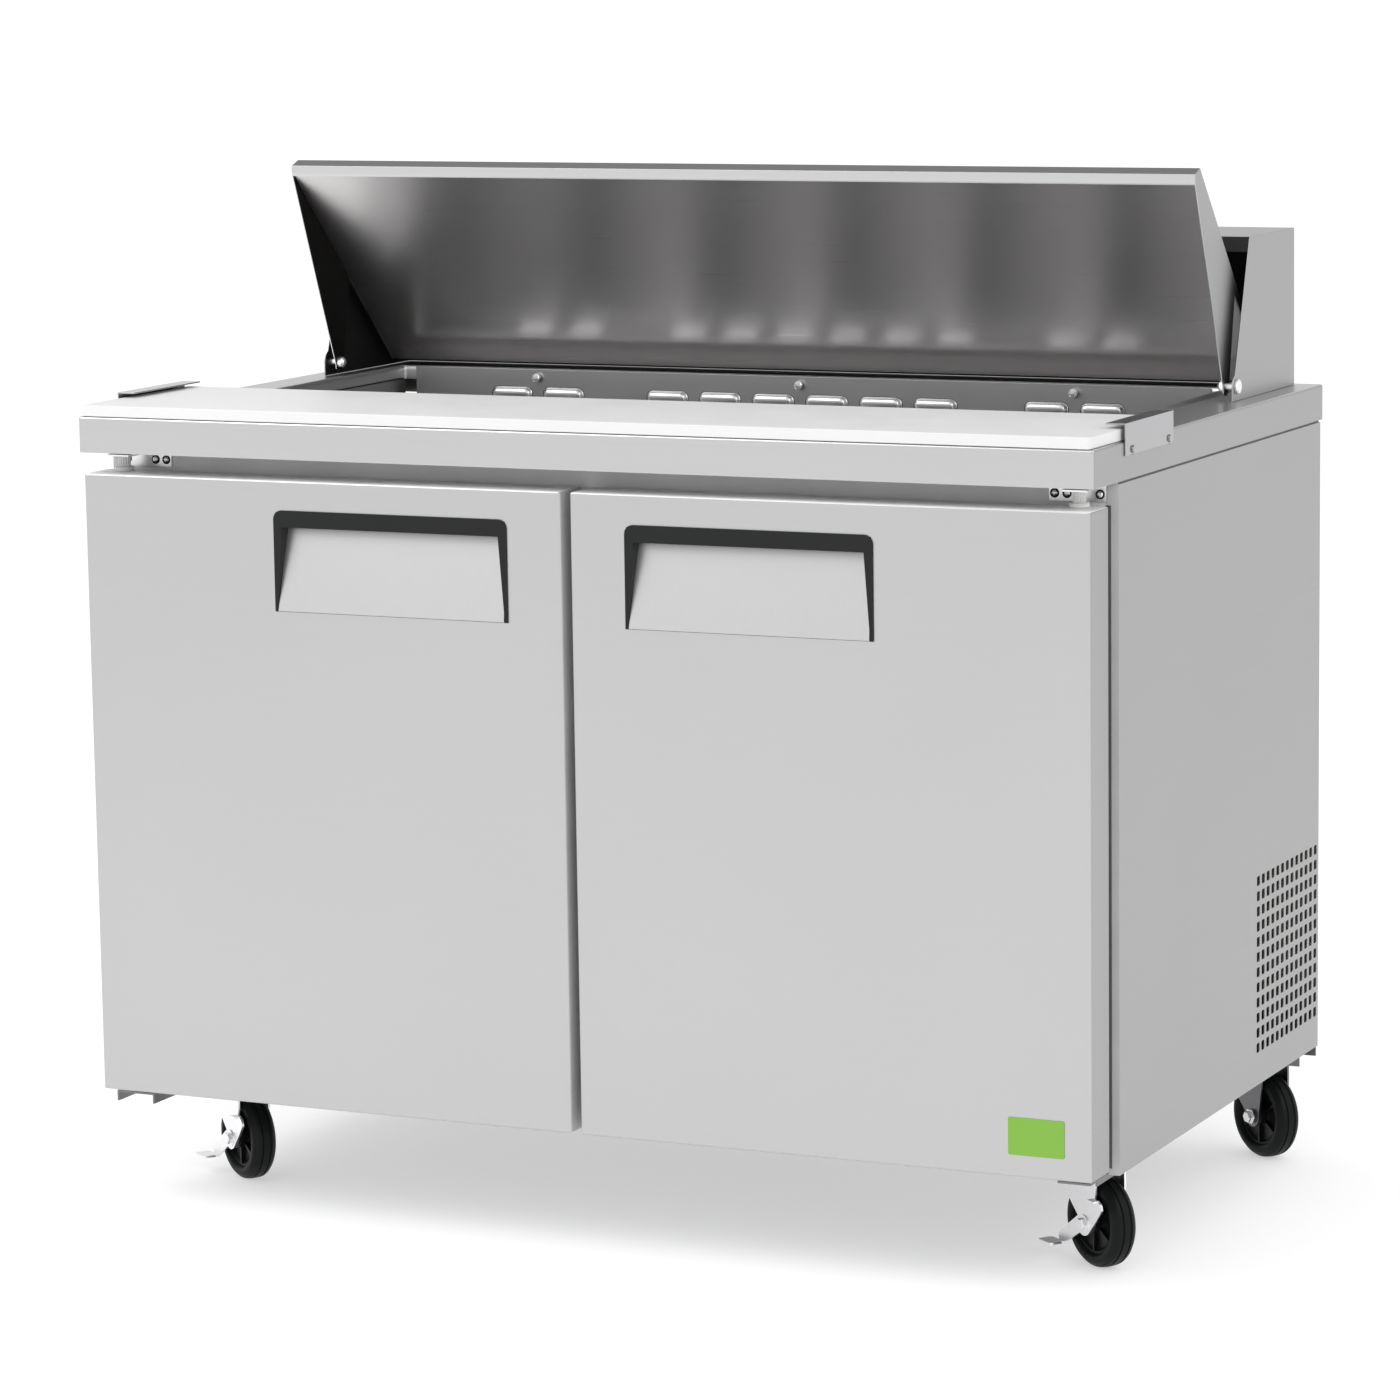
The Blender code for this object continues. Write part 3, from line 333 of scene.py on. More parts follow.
def combine(obj, operation, tools):
    for tool in tools:
        modifier = obj.modifiers.new("combine", "BOOLEAN")
        modifier.operation = operation
        modifier.object = tool
        modifier.solver = "EXACT"
    settle(obj)
    for tool in tools:
        bpy.data.objects.remove(tool)
    return obj


def cut(obj, *tools):
    return combine(obj, "DIFFERENCE", tools)


def fuse(obj, *tools):
    return combine(obj, "UNION", tools)


def overlap(obj, *tools):
    return combine(obj, "INTERSECT", tools)


def weighted(obj):
    """Weighs the normals by face area, so that flat faces look flat."""
    weights = obj.modifiers.new("weights", "WEIGHTED_NORMAL")
    weights.keep_sharp = True
    return obj


def soften(obj, width, segments=3, angle=30):
    """Rounds the sharp edges, and keeps the flat faces flat in the light."""
    bevel = obj.modifiers.new("soften", "BEVEL")
    bevel.width = width
    bevel.segments = segments
    bevel.limit_method = "ANGLE"
    bevel.angle_limit = math.radians(angle)
    bevel.use_clamp_overlap = True
    obj.data.shade_smooth()
    settle(obj)
    obj.data.shade_smooth()
    return weighted(obj)


def smooth(obj, angle=35):
    obj.data.shade_smooth()
    obj.data.set_sharp_from_angle(angle=math.radians(angle))
    return obj


def piece(obj, name, material, body="cabinet", replaces=()):
    """Names a finished piece, paints it, and makes it ride on its body."""
    obj.name = name
    obj.data.materials.clear()
    obj.data.materials.append(material)
    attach(obj, body)
    if replaces:
        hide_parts(*replaces)
    return obj


def repaint(obj, material, chosen):
    """A second material, on the faces that chosen(centre, normal) picks."""
    obj.data.materials.append(material)
    slot = len(obj.data.materials) - 1
    for polygon in obj.data.polygons:
        if chosen(polygon.center, polygon.normal):
            polygon.material_index = slot
    return obj


def sideways(centre, normal):
    return abs(normal.x) > 0.75


def copy_of(node):
    """A clean copy of a CAD node's mesh: vertices welded and flat faces whole again."""
    bm = bmesh.new()
    bm.from_mesh(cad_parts[node].data)
    bmesh.ops.remove_doubles(bm, verts=bm.verts, dist=1e-5)
    bmesh.ops.dissolve_limit(
        bm, angle_limit=math.radians(1), verts=bm.verts, edges=bm.edges, delimit={"NORMAL"}
    )
    return object_from(bm, node)


def refine(node, material, body="cabinet", width=0.0005, segments=2):
    """A copy of a CAD node with its edges eased, in the node's place."""
    obj = soften(copy_of(node), width, segments)
    return piece(obj, f"{node}_finish", material, body, [node])


def paint(node, material, angle=None):
    """A CAD node that stays as it is, in a better material."""
    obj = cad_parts[node]
    obj.data.materials.clear()
    obj.data.materials.append(material)
    if angle:
        smooth(obj, angle)
    return obj


def arc(centre, radius, start, end, steps):
    """Points along an arc, from one angle to another in degrees."""
    return [
        (
            centre[0] + radius * math.cos(math.radians(start + (end - start) * i / steps)),
            centre[1] + radius * math.sin(math.radians(start + (end - start) * i / steps)),
        )
        for i in range(steps + 1)
    ]


def placed(outline):
    return [(depth(back), height(up)) for back, up in outline]


def rounded_loop(half_x, half_y, radius, steps=6):
    """A rounded rectangle about the middle, counter-clockwise."""
    points = []
    for quarter, (sx, sy) in enumerate(((1, 1), (-1, 1), (-1, -1), (1, -1))):
        centre = (sx * (half_x - radius), sy * (half_y - radius))
        points += arc(centre, radius, 90 * quarter, 90 * quarter + 90, steps)
    return points


def loft(loops, name, close=True):
    """A skin through loops of the same number of (x, y, z) points; the last may be filled."""
    bm = bmesh.new()
    rings = [[bm.verts.new(point) for point in loop] for loop in loops]
    count = len(rings[0])
    for upper, lower in zip(rings, rings[1:]):
        for i in range(count):
            j = (i + 1) % count
            bm.faces.new((upper[i], upper[j], lower[j], lower[i]))
    if close:
        bm.faces.new(rings[-1])
    return mesh_object(bm, name)


def thickened(obj, thickness):
    """A skin given a sheet's thickness, inwards."""
    wall = obj.modifiers.new("wall", "SOLIDIFY")
    wall.thickness = thickness
    wall.offset = -1
    return settle(obj)


def tray(low, high, open_axis, radius, thickness, name):
    """A folded sheet box with one face open, its outer edges rounded and its wall inwards."""
    low, high = Vector(low), Vector(high)
    bm = bmesh.new()
    place = Matrix.Translation((low + high) / 2) @ Matrix.Diagonal((*(high - low), 1))
    bmesh.ops.create_cube(bm, size=1.0, matrix=place)
    bm.normal_update()
    opened = [f for f in bm.faces if f.normal.dot(Vector(open_axis)) > 0.9]
    rim = set(opened[0].edges)
    bmesh.ops.delete(bm, geom=opened, context="FACES_ONLY")
    folds = [e for e in bm.edges if e not in rim]
    bmesh.ops.bevel(bm, geom=folds, offset=radius, segments=4, affect="EDGES", profile=0.5)
    return thickened(mesh_object(bm, name), thickness)


def flat_shaded(obj):
    """Smooth bends, with the flat faces kept flat in the light."""
    return weighted(smooth(obj, 40))


def screw_head(place, axis, sign, radius=0.0042):
    """A domed head with a cross in it, facing along an axis."""
    profile = [(0, 0.0022), (radius * 0.5, 0.0020), (radius * 0.85, 0.0012), (radius, 0.0)]
    profile += [(radius, -0.0006), (0, -0.0006)]
    facing = {
        "X": Matrix.Rotation(math.pi / 2 * sign, 4, "Y"),
        "Y": Matrix.Rotation(-math.pi / 2 * sign, 4, "X"),
    }
    where = Matrix.Translation(place) @ facing[axis]
    head = turned(profile, Matrix.Identity(4), 24, "screw")
    reach, half, floor, above = radius * 0.55, 0.0004, 0.0010, 0.01
    cross = boxes([((-reach, -half, floor), (reach, half, above))])
    other = boxes([((-half, -reach, floor), (half, reach, above))])
    cut(head, cross, other)
    head.data.transform(where)
    return smooth(head)


# ---- Worktop, well, board and brackets ----
WELL_SIDE, WELL_FRONT, WELL_BACK = 0.535, 0.290, 0.640
APRON = 0.041


def build_worktop():
    low = Vector((-SIDE, depth(0), height(-APRON)))
    high = Vector((SIDE, depth(DEPTH), height(0)))
    top = tray(low, high, (0, 0, -1), 0.0028, SHEET, "worktop_sheet")
    reach = WELL_SIDE + 0.004
    hole = block(1, -reach, reach, (0.286, -0.03), (0.644, 0.03), radius=0.006)
    piece(flat_shaded(cut(top, hole)), "worktop_sheet", TOP_STEEL, replaces=["worktop"])
    # The worktop's sideways faces take the darker steel as painted shade.
    repaint(top, SHADED_SIDE_STEEL, sideways)
    # Painted shade: a dark strip in the gap between the apron and each side panel.
    gap_shade = [
        block(side, 0.6000, 0.6113, (0.0760, -0.0434), (0.7500, -0.0396)) for _, side in SIDES
    ]
    piece(fuse(*gap_shade), "worktop_gap_shade", VINYL)

    middle = (WELL_FRONT + WELL_BACK) / 2
    half_x, half_y = WELL_SIDE, (WELL_BACK - WELL_FRONT) / 2
    steps = [
        (0.0100, 0.009, 0.0000),
        (0.0080, 0.008, 0.0012),
        (0.0065, 0.007, 0.0035),
        (0.0040, 0.006, 0.0048),
        (0.0018, 0.005, 0.0042),
        (0.0004, 0.004, 0.0024),
        (0.0000, 0.004, -0.0010),
        (0.0000, 0.004, -0.0120),
    ]
    loops = [
        [
            (x, y + depth(middle), height(up))
            for x, y in rounded_loop(half_x + grow, half_y + grow, radius)
        ]
        for grow, radius, up in steps
    ]
    rim = loft(loops, "pan_opening_rim", close=False)
    piece(smooth(thickened(rim, 0.0009), 60), "pan_opening_rim", TOP_STEEL)

    well = block(1, -WELL_SIDE - SHEET, WELL_SIDE + SHEET, (0.2888, -0.058), (0.6412, -0.010))
    inside = block(1, -WELL_SIDE, WELL_SIDE, (WELL_FRONT, -0.0568), (WELL_BACK, 0.01))
    below = block(1, -WELL_SIDE + 0.014, WELL_SIDE - 0.014, (0.304, -0.07), (0.65, -0.05))
    behind = block(1, -WELL_SIDE, WELL_SIDE, (0.6385, -0.07), (0.65, 0.02))
    piece(soften(cut(well, inside, below, behind), 0.0004, 2), "pan_well_walls", DUCT)


def build_board():
    low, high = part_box("cutting_board")
    board = boxes([(low, high)], "cutting_board_slab", 0.004)
    soften(board, 0.0016, 3)
    piece(board, "cutting_board_slab", BOARD, "cutting_board", ["cutting_board"])


def build_brackets():
    for name, side in SIDES:
        refine(f"board_bracket_{name}", POLISHED, width=0.0004)
        for screw_depth in (0.112, 0.226):
            label = f"{name}_{int(screw_depth * 1000)}"
            x, y, z = side * (SIDE + 0.0018), depth(screw_depth), height(-0.010)
            ring = rod((x - side * 0.0008, y, z), 0.0062, 0.0012, "X", 32)
            piece(ring, f"bracket_screw_ring_{label}", ENAMEL)
            head = screw_head((x, y, z), "X", side, 0.0046)
            piece(head, f"bracket_screw_{label}", DARK_ZINC_AND_SHADE)


# ---- Hood and lid ----
def build_hood_and_lid():
    # The hood takes the darker steel as painted shade.
    hood = refine("rear_hood", SHADED_SIDE_STEEL, width=0.0005)
    low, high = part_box("rear_hood")

    def inward(centre, normal):
        probe = centre + normal * 0.01
        return all(low[i] < probe[i] < high[i] for i in range(3))

    repaint(hood, HOOD_BLACK_AND_SHADE, inward)
    shell = refine("lid_shell", LID_STEEL, "lid", 0.0004)
    # The lid's sideways faces take the darker steel as painted shade.
    repaint(shell, SHADED_SIDE_STEEL, sideways)
    # The shell's upward faces are darkened to near black as painted shade.
    repaint(shell, LID_EDGE_SHADE, lambda centre, normal: normal.z > 0.9)
    repaint(shell, LID_CHEEK, lambda centre, normal: normal.x * centre.x < -0.4)
    liner = refine("lid_liner", MIRROR, "lid", 0.0004)
    repaint(liner, LID_CHEEK, sideways)
    for name, _ in SIDES:
        paint(f"lid_pivot_{name}", ZINC, 30)


# ---- Air duct and pans ----
LOUVRE_PITCH = 0.070


def louvre_places():
    """Twelve even places across the duct, of which the third from each end is empty."""
    return [(i - 5.5) * LOUVRE_PITCH for i in range(12) if i not in (2, 9)]


def build_duct():
    refine("louvre_duct", DUCT, width=0.0003)
    front = depth(0.6382)
    for number, x in enumerate(louvre_places(), 1):
        steps = [(0.0280, 0.0092, 0.0001), (0.0272, 0.0085, 0.0003), (0.0262, 0.0077, 0.0018)]
        steps += [(0.0250, 0.0067, 0.0044), (0.0232, 0.0052, 0.0060), (0.0205, 0.0030, 0.0066)]
        loops = [
            [
                (x + a, front - out, height(-0.0262) + b)
                for a, b in rounded_loop(half_x, half_z, half_z - 0.0003)
            ]
            for half_x, half_z, out in steps
        ]
        bulge = smooth(loft(loops, "bulge"), 60)
        # The bulge takes the lighter steel as painted light.
        piece(bulge, f"louvre_{number}", LIT_LOUVRE_STEEL)
        # The thin band at the bulge's base is painted shade.
        repaint(bulge, HOOD_BLACK_AND_SHADE, lambda centre, normal: centre.y > front - 0.0003)
        # A thin black box under each louvre is painted shade in its opening.
        shade_low = (x - 0.019, front - 0.0008, height(-0.0362))
        shade_high = (x + 0.019, front - 0.0002, height(-0.0350))
        slot = boxes([(shade_low, shade_high)])
        piece(slot, f"louvre_opening_shade_{number}", HOOD_BLACK_AND_SHADE)
    for number, x in enumerate((-0.35, 0.0, 0.35), 1):
        facing = Matrix.Rotation(math.pi / 2, 4, "X")
        place = Matrix.Translation((x, front, height(-0.006))) @ facing
        profile = [(0, 0.0075), (0.0040, 0.0072), (0.0052, 0.0060), (0.0052, 0.0018)]
        profile += [(0.0036, 0.0016), (0.0036, 0.0002), (0, 0.0002)]
        knob = turned(profile, Matrix.Identity(4), 36, "thumbscrew")
        slit = boxes([((-0.006, -0.0006, 0.0058), (0.006, 0.0006, 0.01))])
        cut(knob, slit)
        knob.data.transform(place)
        piece(smooth(knob), f"thumbscrew_{number}", ZINC)


def build_pans():
    """Tapered tubs with rolled rims, round corners and a filleted floor."""
    low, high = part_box("food_pan_1")
    half_x, half_y = (high.x - low.x) / 2, (high.y - low.y) / 2
    top, floor = high.z, low.z
    wall_x, wall_y = 0.0795, 0.1515
    rings = [
        (half_x - 0.0004, half_y - 0.0004, 0.012, -0.0026),
        (half_x, half_y, 0.012, -0.0012),
        (half_x - 0.0008, half_y - 0.0008, 0.012, -0.0002),
        (half_x - 0.0030, half_y - 0.0030, 0.012, 0.0),
        (wall_x + 0.0020, wall_y + 0.0020, 0.024, -0.0002),
        (wall_x, wall_y, 0.023, -0.0022),
        (wall_x - 0.0007, wall_y - 0.0007, 0.023, -0.016),
        (wall_x - 0.0025, wall_y - 0.0025, 0.022, -0.018),
    ]
    fillet = 0.012
    for step in range(7):
        turn = math.radians(15 * step)
        shrink = 0.0062 + fillet * (1 - math.cos(turn))
        drop = (top - floor) - fillet * (1 - math.sin(turn))
        rings.append((wall_x - shrink, wall_y - shrink, 0.022, -drop + 0.0008))
    loops = [
        [(x, y, up) for x, y in rounded_loop(hx, hy, radius)] for hx, hy, radius, up in rings
    ]
    pan = loft(loops, "food_pan_shape")
    smooth(thickened(pan, 0.0008), 60)
    mesh = pan.data
    for number in range(1, 7):
        node = f"food_pan_{number}"
        low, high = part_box(node)
        centre = (low + high) / 2
        tub = linked(f"{node}_tub", mesh)
        tub.location = (centre.x, centre.y, high.z)
        piece(tub, f"{node}_tub", PAN_STEEL, node, [node])
    bpy.data.objects.remove(pan)


# ---- Doors ----
# Inner and outer reach from the middle, then bottom and top, of each handle.
HANDLE = (0.0715, 0.363, -0.212, -0.098)
HINGE_OUT, HINGE_BACK, DOOR_TOP = 0.580, 0.044, -0.065


def handle_pocket(side):
    inner, outer, bottom, top = HANDLE
    side_view = [
        (-0.02, bottom - 0.0005),
        (-0.02, top - 0.019),
        (0.0085, top - 0.019),
        (0.0085, top - 0.0045),
        (0.0205, top - 0.0045),
        (0.0200, top - 0.0145),
        (0.0012, bottom - 0.0005),
    ]
    front_view = [
        (side * (inner + 0.0035), height(bottom - 0.002)),
        (side * (outer - 0.0035), height(bottom - 0.002)),
        (side * (outer - 0.0105), height(top - 0.019)),
        (side * (outer - 0.0105), height(top - 0.001)),
        (side * (inner + 0.0105), height(top - 0.001)),
        (side * (inner + 0.0105), height(top - 0.019)),
    ]
    low_x, high_x = sorted((side * (inner - 0.01), side * (outer + 0.01)))
    pocket = prism(placed(side_view), low_x, high_x)
    return overlap(pocket, prism(front_view, depth(-0.03), depth(0.05), "Y"))


def build_handle(name, side, body):
    inner, outer, bottom, top = HANDLE
    middle = side * (inner + outer) / 2
    half = (outer - inner) / 2
    crown = arc((half - 0.010, height(top - 0.010)), 0.010, 0, 90, 5)
    outline = [(half, height(bottom)), *crown]
    outline += [(-x, z) for x, z in reversed(outline)]
    outline = [(middle + x, z) for x, z in outline]
    surround = prism(outline, depth(0.0003), depth(0.0018), "Y")
    housing = block(
        side, inner + 0.0026, outer - 0.0026, (0.0010, bottom + 0.0026), (0.0228, top - 0.0026)
    )
    fuse(surround, housing)
    cut(surround, handle_pocket(side))
    soften(surround, 0.0006, 2)
    piece(surround, f"{body}_handle_frame", BLACK, body, [f"{body}_handle"])

    front_bottom, back_top = (0.0006, bottom + 0.0006), (0.0185, top - 0.0150)
    along = Vector((back_top[0] - front_bottom[0], back_top[1] - front_bottom[1])).normalized()
    off = Vector((-along.y, along.x)) * 0.0008
    lip = (front_bottom[0] - 0.0004, front_bottom[1])
    plate_view = [front_bottom, back_top, (back_top[0] + off.x, back_top[1] + off.y)]
    plate_view += [(front_bottom[0] + off.x, front_bottom[1] + 0.0012), lip]
    low_x, high_x = sorted((side * (inner + 0.002), side * (outer - 0.002)))
    plate = prism(placed(plate_view), low_x, high_x)
    front_view = [
        (side * (inner + 0.0042), height(bottom - 0.002)),
        (side * (outer - 0.0042), height(bottom - 0.002)),
        (side * (outer - 0.0112), height(top - 0.001)),
        (side * (inner + 0.0112), height(top - 0.001)),
    ]
    overlap(plate, prism(front_view, depth(-0.03), depth(0.05), "Y"))
    piece(plate, f"{body}_handle_plate", PLATE, body)


def build_doors():
    inner, outer, bottom, top = HANDLE
    for name, side in SIDES:
        body = f"door_{name}"
        low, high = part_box(f"{body}_panel")
        skin = tray(low, high, (0, 1, 0), 0.0022, SHEET, f"{body}_skin")
        hole = block(
            side, inner + 0.0022, outer - 0.0022, (-0.01, bottom + 0.0022), (0.03, top - 0.0022)
        )
        cut(skin, hole)
        piece(flat_shaded(skin), f"{body}_skin", FRONT, body, [f"{body}_panel"])
        # The door's outer side takes the darker steel as painted shade.
        repaint(skin, SHADED_SIDE_STEEL, lambda centre, normal, s=side: normal.x * s > 0.75)
        # The edge facing the other door takes the diffuse grey as painted light.
        repaint(skin, GREY_PAINTED_LIGHT, lambda centre, normal, s=side: normal.x * s < -0.75)
        # The door's top takes the near-white as painted light.
        repaint(skin, WHITE_PAINTED_LIGHT, lambda centre, normal: normal.z > 0.75)
        refine(f"{body}_liner", CORE, body, 0.0030, 3)
        refine(f"{body}_gasket", VINYL, body, 0.0040, 3)
        build_handle(name, side, body)
        build_bushing(name, side, body)
    label_low = (0.513, depth(0.0012), height(-0.756))
    label_high = (0.577, depth(0.0019), height(-0.715))
    label = boxes([(label_low, label_high)], "label", 0.002, "Y")
    piece(label, "plain_green_label", GREEN, "door_right")


def build_bushing(name, side, body):
    """A fluted nylon bushing that stands on the door's top, on the hinge axis."""
    flutes = 14
    outline = []
    for i in range(flutes * 4):
        reach = 0.0072 if i % 4 in (0, 1) else 0.0061
        turn = math.tau * i / (flutes * 4)
        outline.append((reach * math.cos(turn), reach * math.sin(turn)))
    grip = prism(outline, 0.0045, 0.0160, "Z")
    profile = [(0, 0.0050), (0.0100, 0.0050), (0.0110, 0.0042), (0.0110, 0.0003), (0, 0.0003)]
    fuse(grip, turned(profile, Matrix.Identity(4), 40))
    cut(grip, rod((0, 0, 0.01), 0.0034, 0.05))
    on_hinge = (side * HINGE_OUT, depth(HINGE_BACK), height(DOOR_TOP))
    grip.data.transform(Matrix.Translation(on_hinge))
    piece(smooth(grip, 30), f"{body}_bushing", NYLON, body)


# ---- Cabinet ----
VENT_COLUMNS, VENT_ROWS = 13, 12
VENT_FRONT, VENT_TOP = 0.5325, -0.5487
VENT_PITCH_Y, VENT_PITCH_Z = 0.01732, 0.01774
VENT_HALF_Y, VENT_HALF_Z = 0.0052, 0.0056


def vent_holes(side):
    """Round-cornered holes through one side panel, in rows and columns."""
    near, far = min(side * 0.60, side * 0.62), max(side * 0.60, side * 0.62)
    holes = []
    for column in range(VENT_COLUMNS):
        for row in range(VENT_ROWS):
            y = VENT_FRONT + column * VENT_PITCH_Y
            z = VENT_TOP - row * VENT_PITCH_Z
            low = (near, depth(y - VENT_HALF_Y), height(z - VENT_HALF_Z))
            high = (far, depth(y + VENT_HALF_Y), height(z + VENT_HALF_Z))
            holes.append((low, high))
    return boxes(holes, "holes", 0.0022, "X")


def build_side_panels():
    for name, side in SIDES:
        node = f"side_panel_{name}"
        low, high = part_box(node)
        inner, outer = SIDE - 0.0001 - SHEET, SIDE - 0.0001
        front, back = depth(0.0735), depth(0.7525)
        low_x, high_x = sorted((side * inner, side * outer))
        sheet = boxes([((low_x, front, low.z), (high_x, back, high.z))])
        flange_x = sorted((side * 0.600, side * outer))
        fold = boxes([((flange_x[0], front, low.z), (flange_x[1], front + 0.001, high.z))])
        fuse(sheet, fold)
        soften(sheet, 0.0005, 2)
        settle(sheet)
        cut(sheet, vent_holes(side))
        # The side panels take the darker steel as painted shade.
        piece(flat_shaded(sheet), f"{node}_sheet", SHADED_SIDE_STEEL, replaces=[node])
        # The front flange takes the diffuse grey as painted light.
        repaint(sheet, GREY_PAINTED_LIGHT, lambda c, normal: normal.y < -0.75 and c.y < front + 0.002)


def build_cabinet():
    paint("cabinet_insulation", FOAM)
    refine("cabinet_liner", ALUMINIUM, width=0.0003)
    front = refine("face_frame", HEADER, width=0.0004)
    # The face frame's front takes the near-white as painted light.
    repaint(front, WHITE_PAINTED_LIGHT, lambda centre, normal: normal.y < -0.75)
    refine("pan_support_frame", DUCT, width=0.0004)
    # The back panel takes the darker steel as painted shade.
    refine("back_panel", SHADED_SIDE_STEEL, width=0.0003)
    refine("base_pan", DARK_ZINC_AND_SHADE, width=0.0003)
    for name, side in SIDES:
        refine(f"hinge_bracket_top_{name}", ZINC, width=0.0004)
        # The bottom hinge bracket is darkened as painted shade, the top one bright.
        refine(f"hinge_bracket_bottom_{name}", DARK_ZINC_AND_SHADE, width=0.0006)
        # Painted shadow: a dark strip on the front flange, where the door's gasket casts its
        # shadow.
        shadow_strip = block(side, 0.5985, 0.6042, (0.0729, -0.7800), (0.0734, -0.0660))
        piece(shadow_strip, f"gasket_shadow_strip_{name}", VINYL)
        for number, x in enumerate((0.5415, 0.5555, 0.5925), 1):
            place = (side * x, depth(0.0722), height(-0.0545))
            # A black ring round each hinge screw is painted shade in its hole.
            ring = rod((place[0], place[1] - 0.0002, place[2]), 0.0052, 0.0004, "Y", 32)
            piece(ring, f"hinge_screw_hole_{name}_{number}", HOOD_BLACK_AND_SHADE)
            head = screw_head(place, "Y", -1, 0.0036)
            piece(head, f"hinge_screw_{name}_{number}", ZINC)


def build_shelves():
    """Wire shelves: two frames of rod, and wires from front to back on cross bars."""
    for name, side in SIDES:
        node = f"shelf_{name}"
        low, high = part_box(node)
        z = (low.z + high.z) / 2
        inset = 0.003
        x0, x1, y0, y1 = low.x + inset, high.x - inset, low.y + inset, high.y - inset
        rods = [[(x0, y, z), (x1, y, z)] for y in (y0, (y0 + y1) / 2, y1)]
        rods += [[(x, y0, z), (x, y1, z)] for x in (x0, x1)]
        frame_wires = wires(rods, 0.0028, "frame")
        gaps, rise = 21, z + 0.0012
        places = [x0 + (x1 - x0) * i / gaps for i in range(1, gaps)]
        lines = [[(x, y0, rise), (x, y1, rise)] for x in places]
        grid = wires(lines, 0.0016, "grid", resolution=2)
        piece(smooth(frame_wires), f"{node}_frame", EPOXY, replaces=[node])
        piece(smooth(grid), f"{node}_wires", EPOXY)


# ---- Machinery ----
def build_coil(node, axis, tube_radius, fin_pitch):
    """A block of thin fins along an axis, with copper return bends at both of its ends."""
    low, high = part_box(node)
    index = "XYZ".index(axis)
    other = 1 - index
    inset = 0.010
    fins = []
    count = int((high[index] - low[index] - 2 * inset) / fin_pitch)
    for i in range(count):
        start = list(low)
        end = list(high)
        start[index] = low[index] + inset + i * fin_pitch
        end[index] = start[index] + 0.0006
        fins.append((start, end))
    for place in (low[index] + inset, high[index] - inset - 0.0012):
        start, end = list(low), list(high)
        start[index], end[index] = place, place + 0.0012
        fins.append((start, end))
    block_of_fins = boxes(fins, "fins")
    piece(block_of_fins, f"{node}_fins", FINS, replaces=[node])
    rows = max(2, int((high.z - low.z) / 0.030))
    lines = []
    middle = (low[other] + high[other]) / 2
    for row in range(rows):
        z = low.z + (row + 0.5) * (high.z - low.z) / rows
        step = (high.z - low.z) / rows
        ends = []
        for place in (low[index] + inset * 0.8, high[index] - inset * 0.8):
            point = [0, 0, z]
            point[index], point[other] = place, middle
            ends.append(tuple(point))
        lines.append(ends)
        if row + 1 < rows:
            far = row % 2 == 0
            place = high[index] - inset * 0.8 if far else low[index] + inset * 0.8
            reach = 1 if far else -1
            bend = []
            for turn in range(0, 181, 20):
                angle = math.radians(turn)
                point = [0, 0, z + step / 2 - step / 2 * math.cos(angle)]
                point[index] = place + reach * min(step / 2, inset * 0.55) * math.sin(angle)
                point[other] = middle
                bend.append(tuple(point))
            lines.append(bend)
    piece(smooth(wires(lines, tube_radius, "tubes")), f"{node}_tubes", COPPER)


def build_machinery():
    build_coil("evaporator_coil", "X", 0.0036, 0.0042)
    build_coil("condenser_coil", "Y", 0.0036, 0.0040)
    paint("compressor", ENAMEL, 40)
    paint("condenser_fan_motor", ENAMEL, 40)
    paint("evaporator_fan_motor", ENAMEL, 40)
    refine("control_box", ENAMEL, width=0.0020, segments=3)
    paint("evaporator_fan_blade", BLACK, 30)
    paint("condenser_fan_blade", BLACK, 30)
    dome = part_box("compressor")
    centre = (dome[0] + dome[1]) / 2
    lines = []
    for side, reach in ((-1, 0.060), (1, 0.052)):
        start = (centre.x + side * 0.030, centre.y, dome[1].z - 0.020)
        lines.append(
            [
                start,
                (start[0] + side * 0.012, start[1], start[2] + 0.022),
                (start[0] + side * 0.030, start[1], start[2] + 0.024),
                (start[0] + side * reach, start[1], start[2] + 0.004),
                (start[0] + side * reach, start[1], centre.z - 0.02),
            ]
        )
    piece(smooth(wires(lines, 0.0032, "lines")), "compressor_tubes", COPPER)


# ---- Casters ----
# Row, distance out from the middle, distance back from the apron's front.
CASTERS = (("front", 0.535, 0.180), ("rear", 0.542, 0.7196))
CASTER_TURN = math.radians(-35)
TRAIL, WHEEL_RADIUS = 0.028, 0.0508


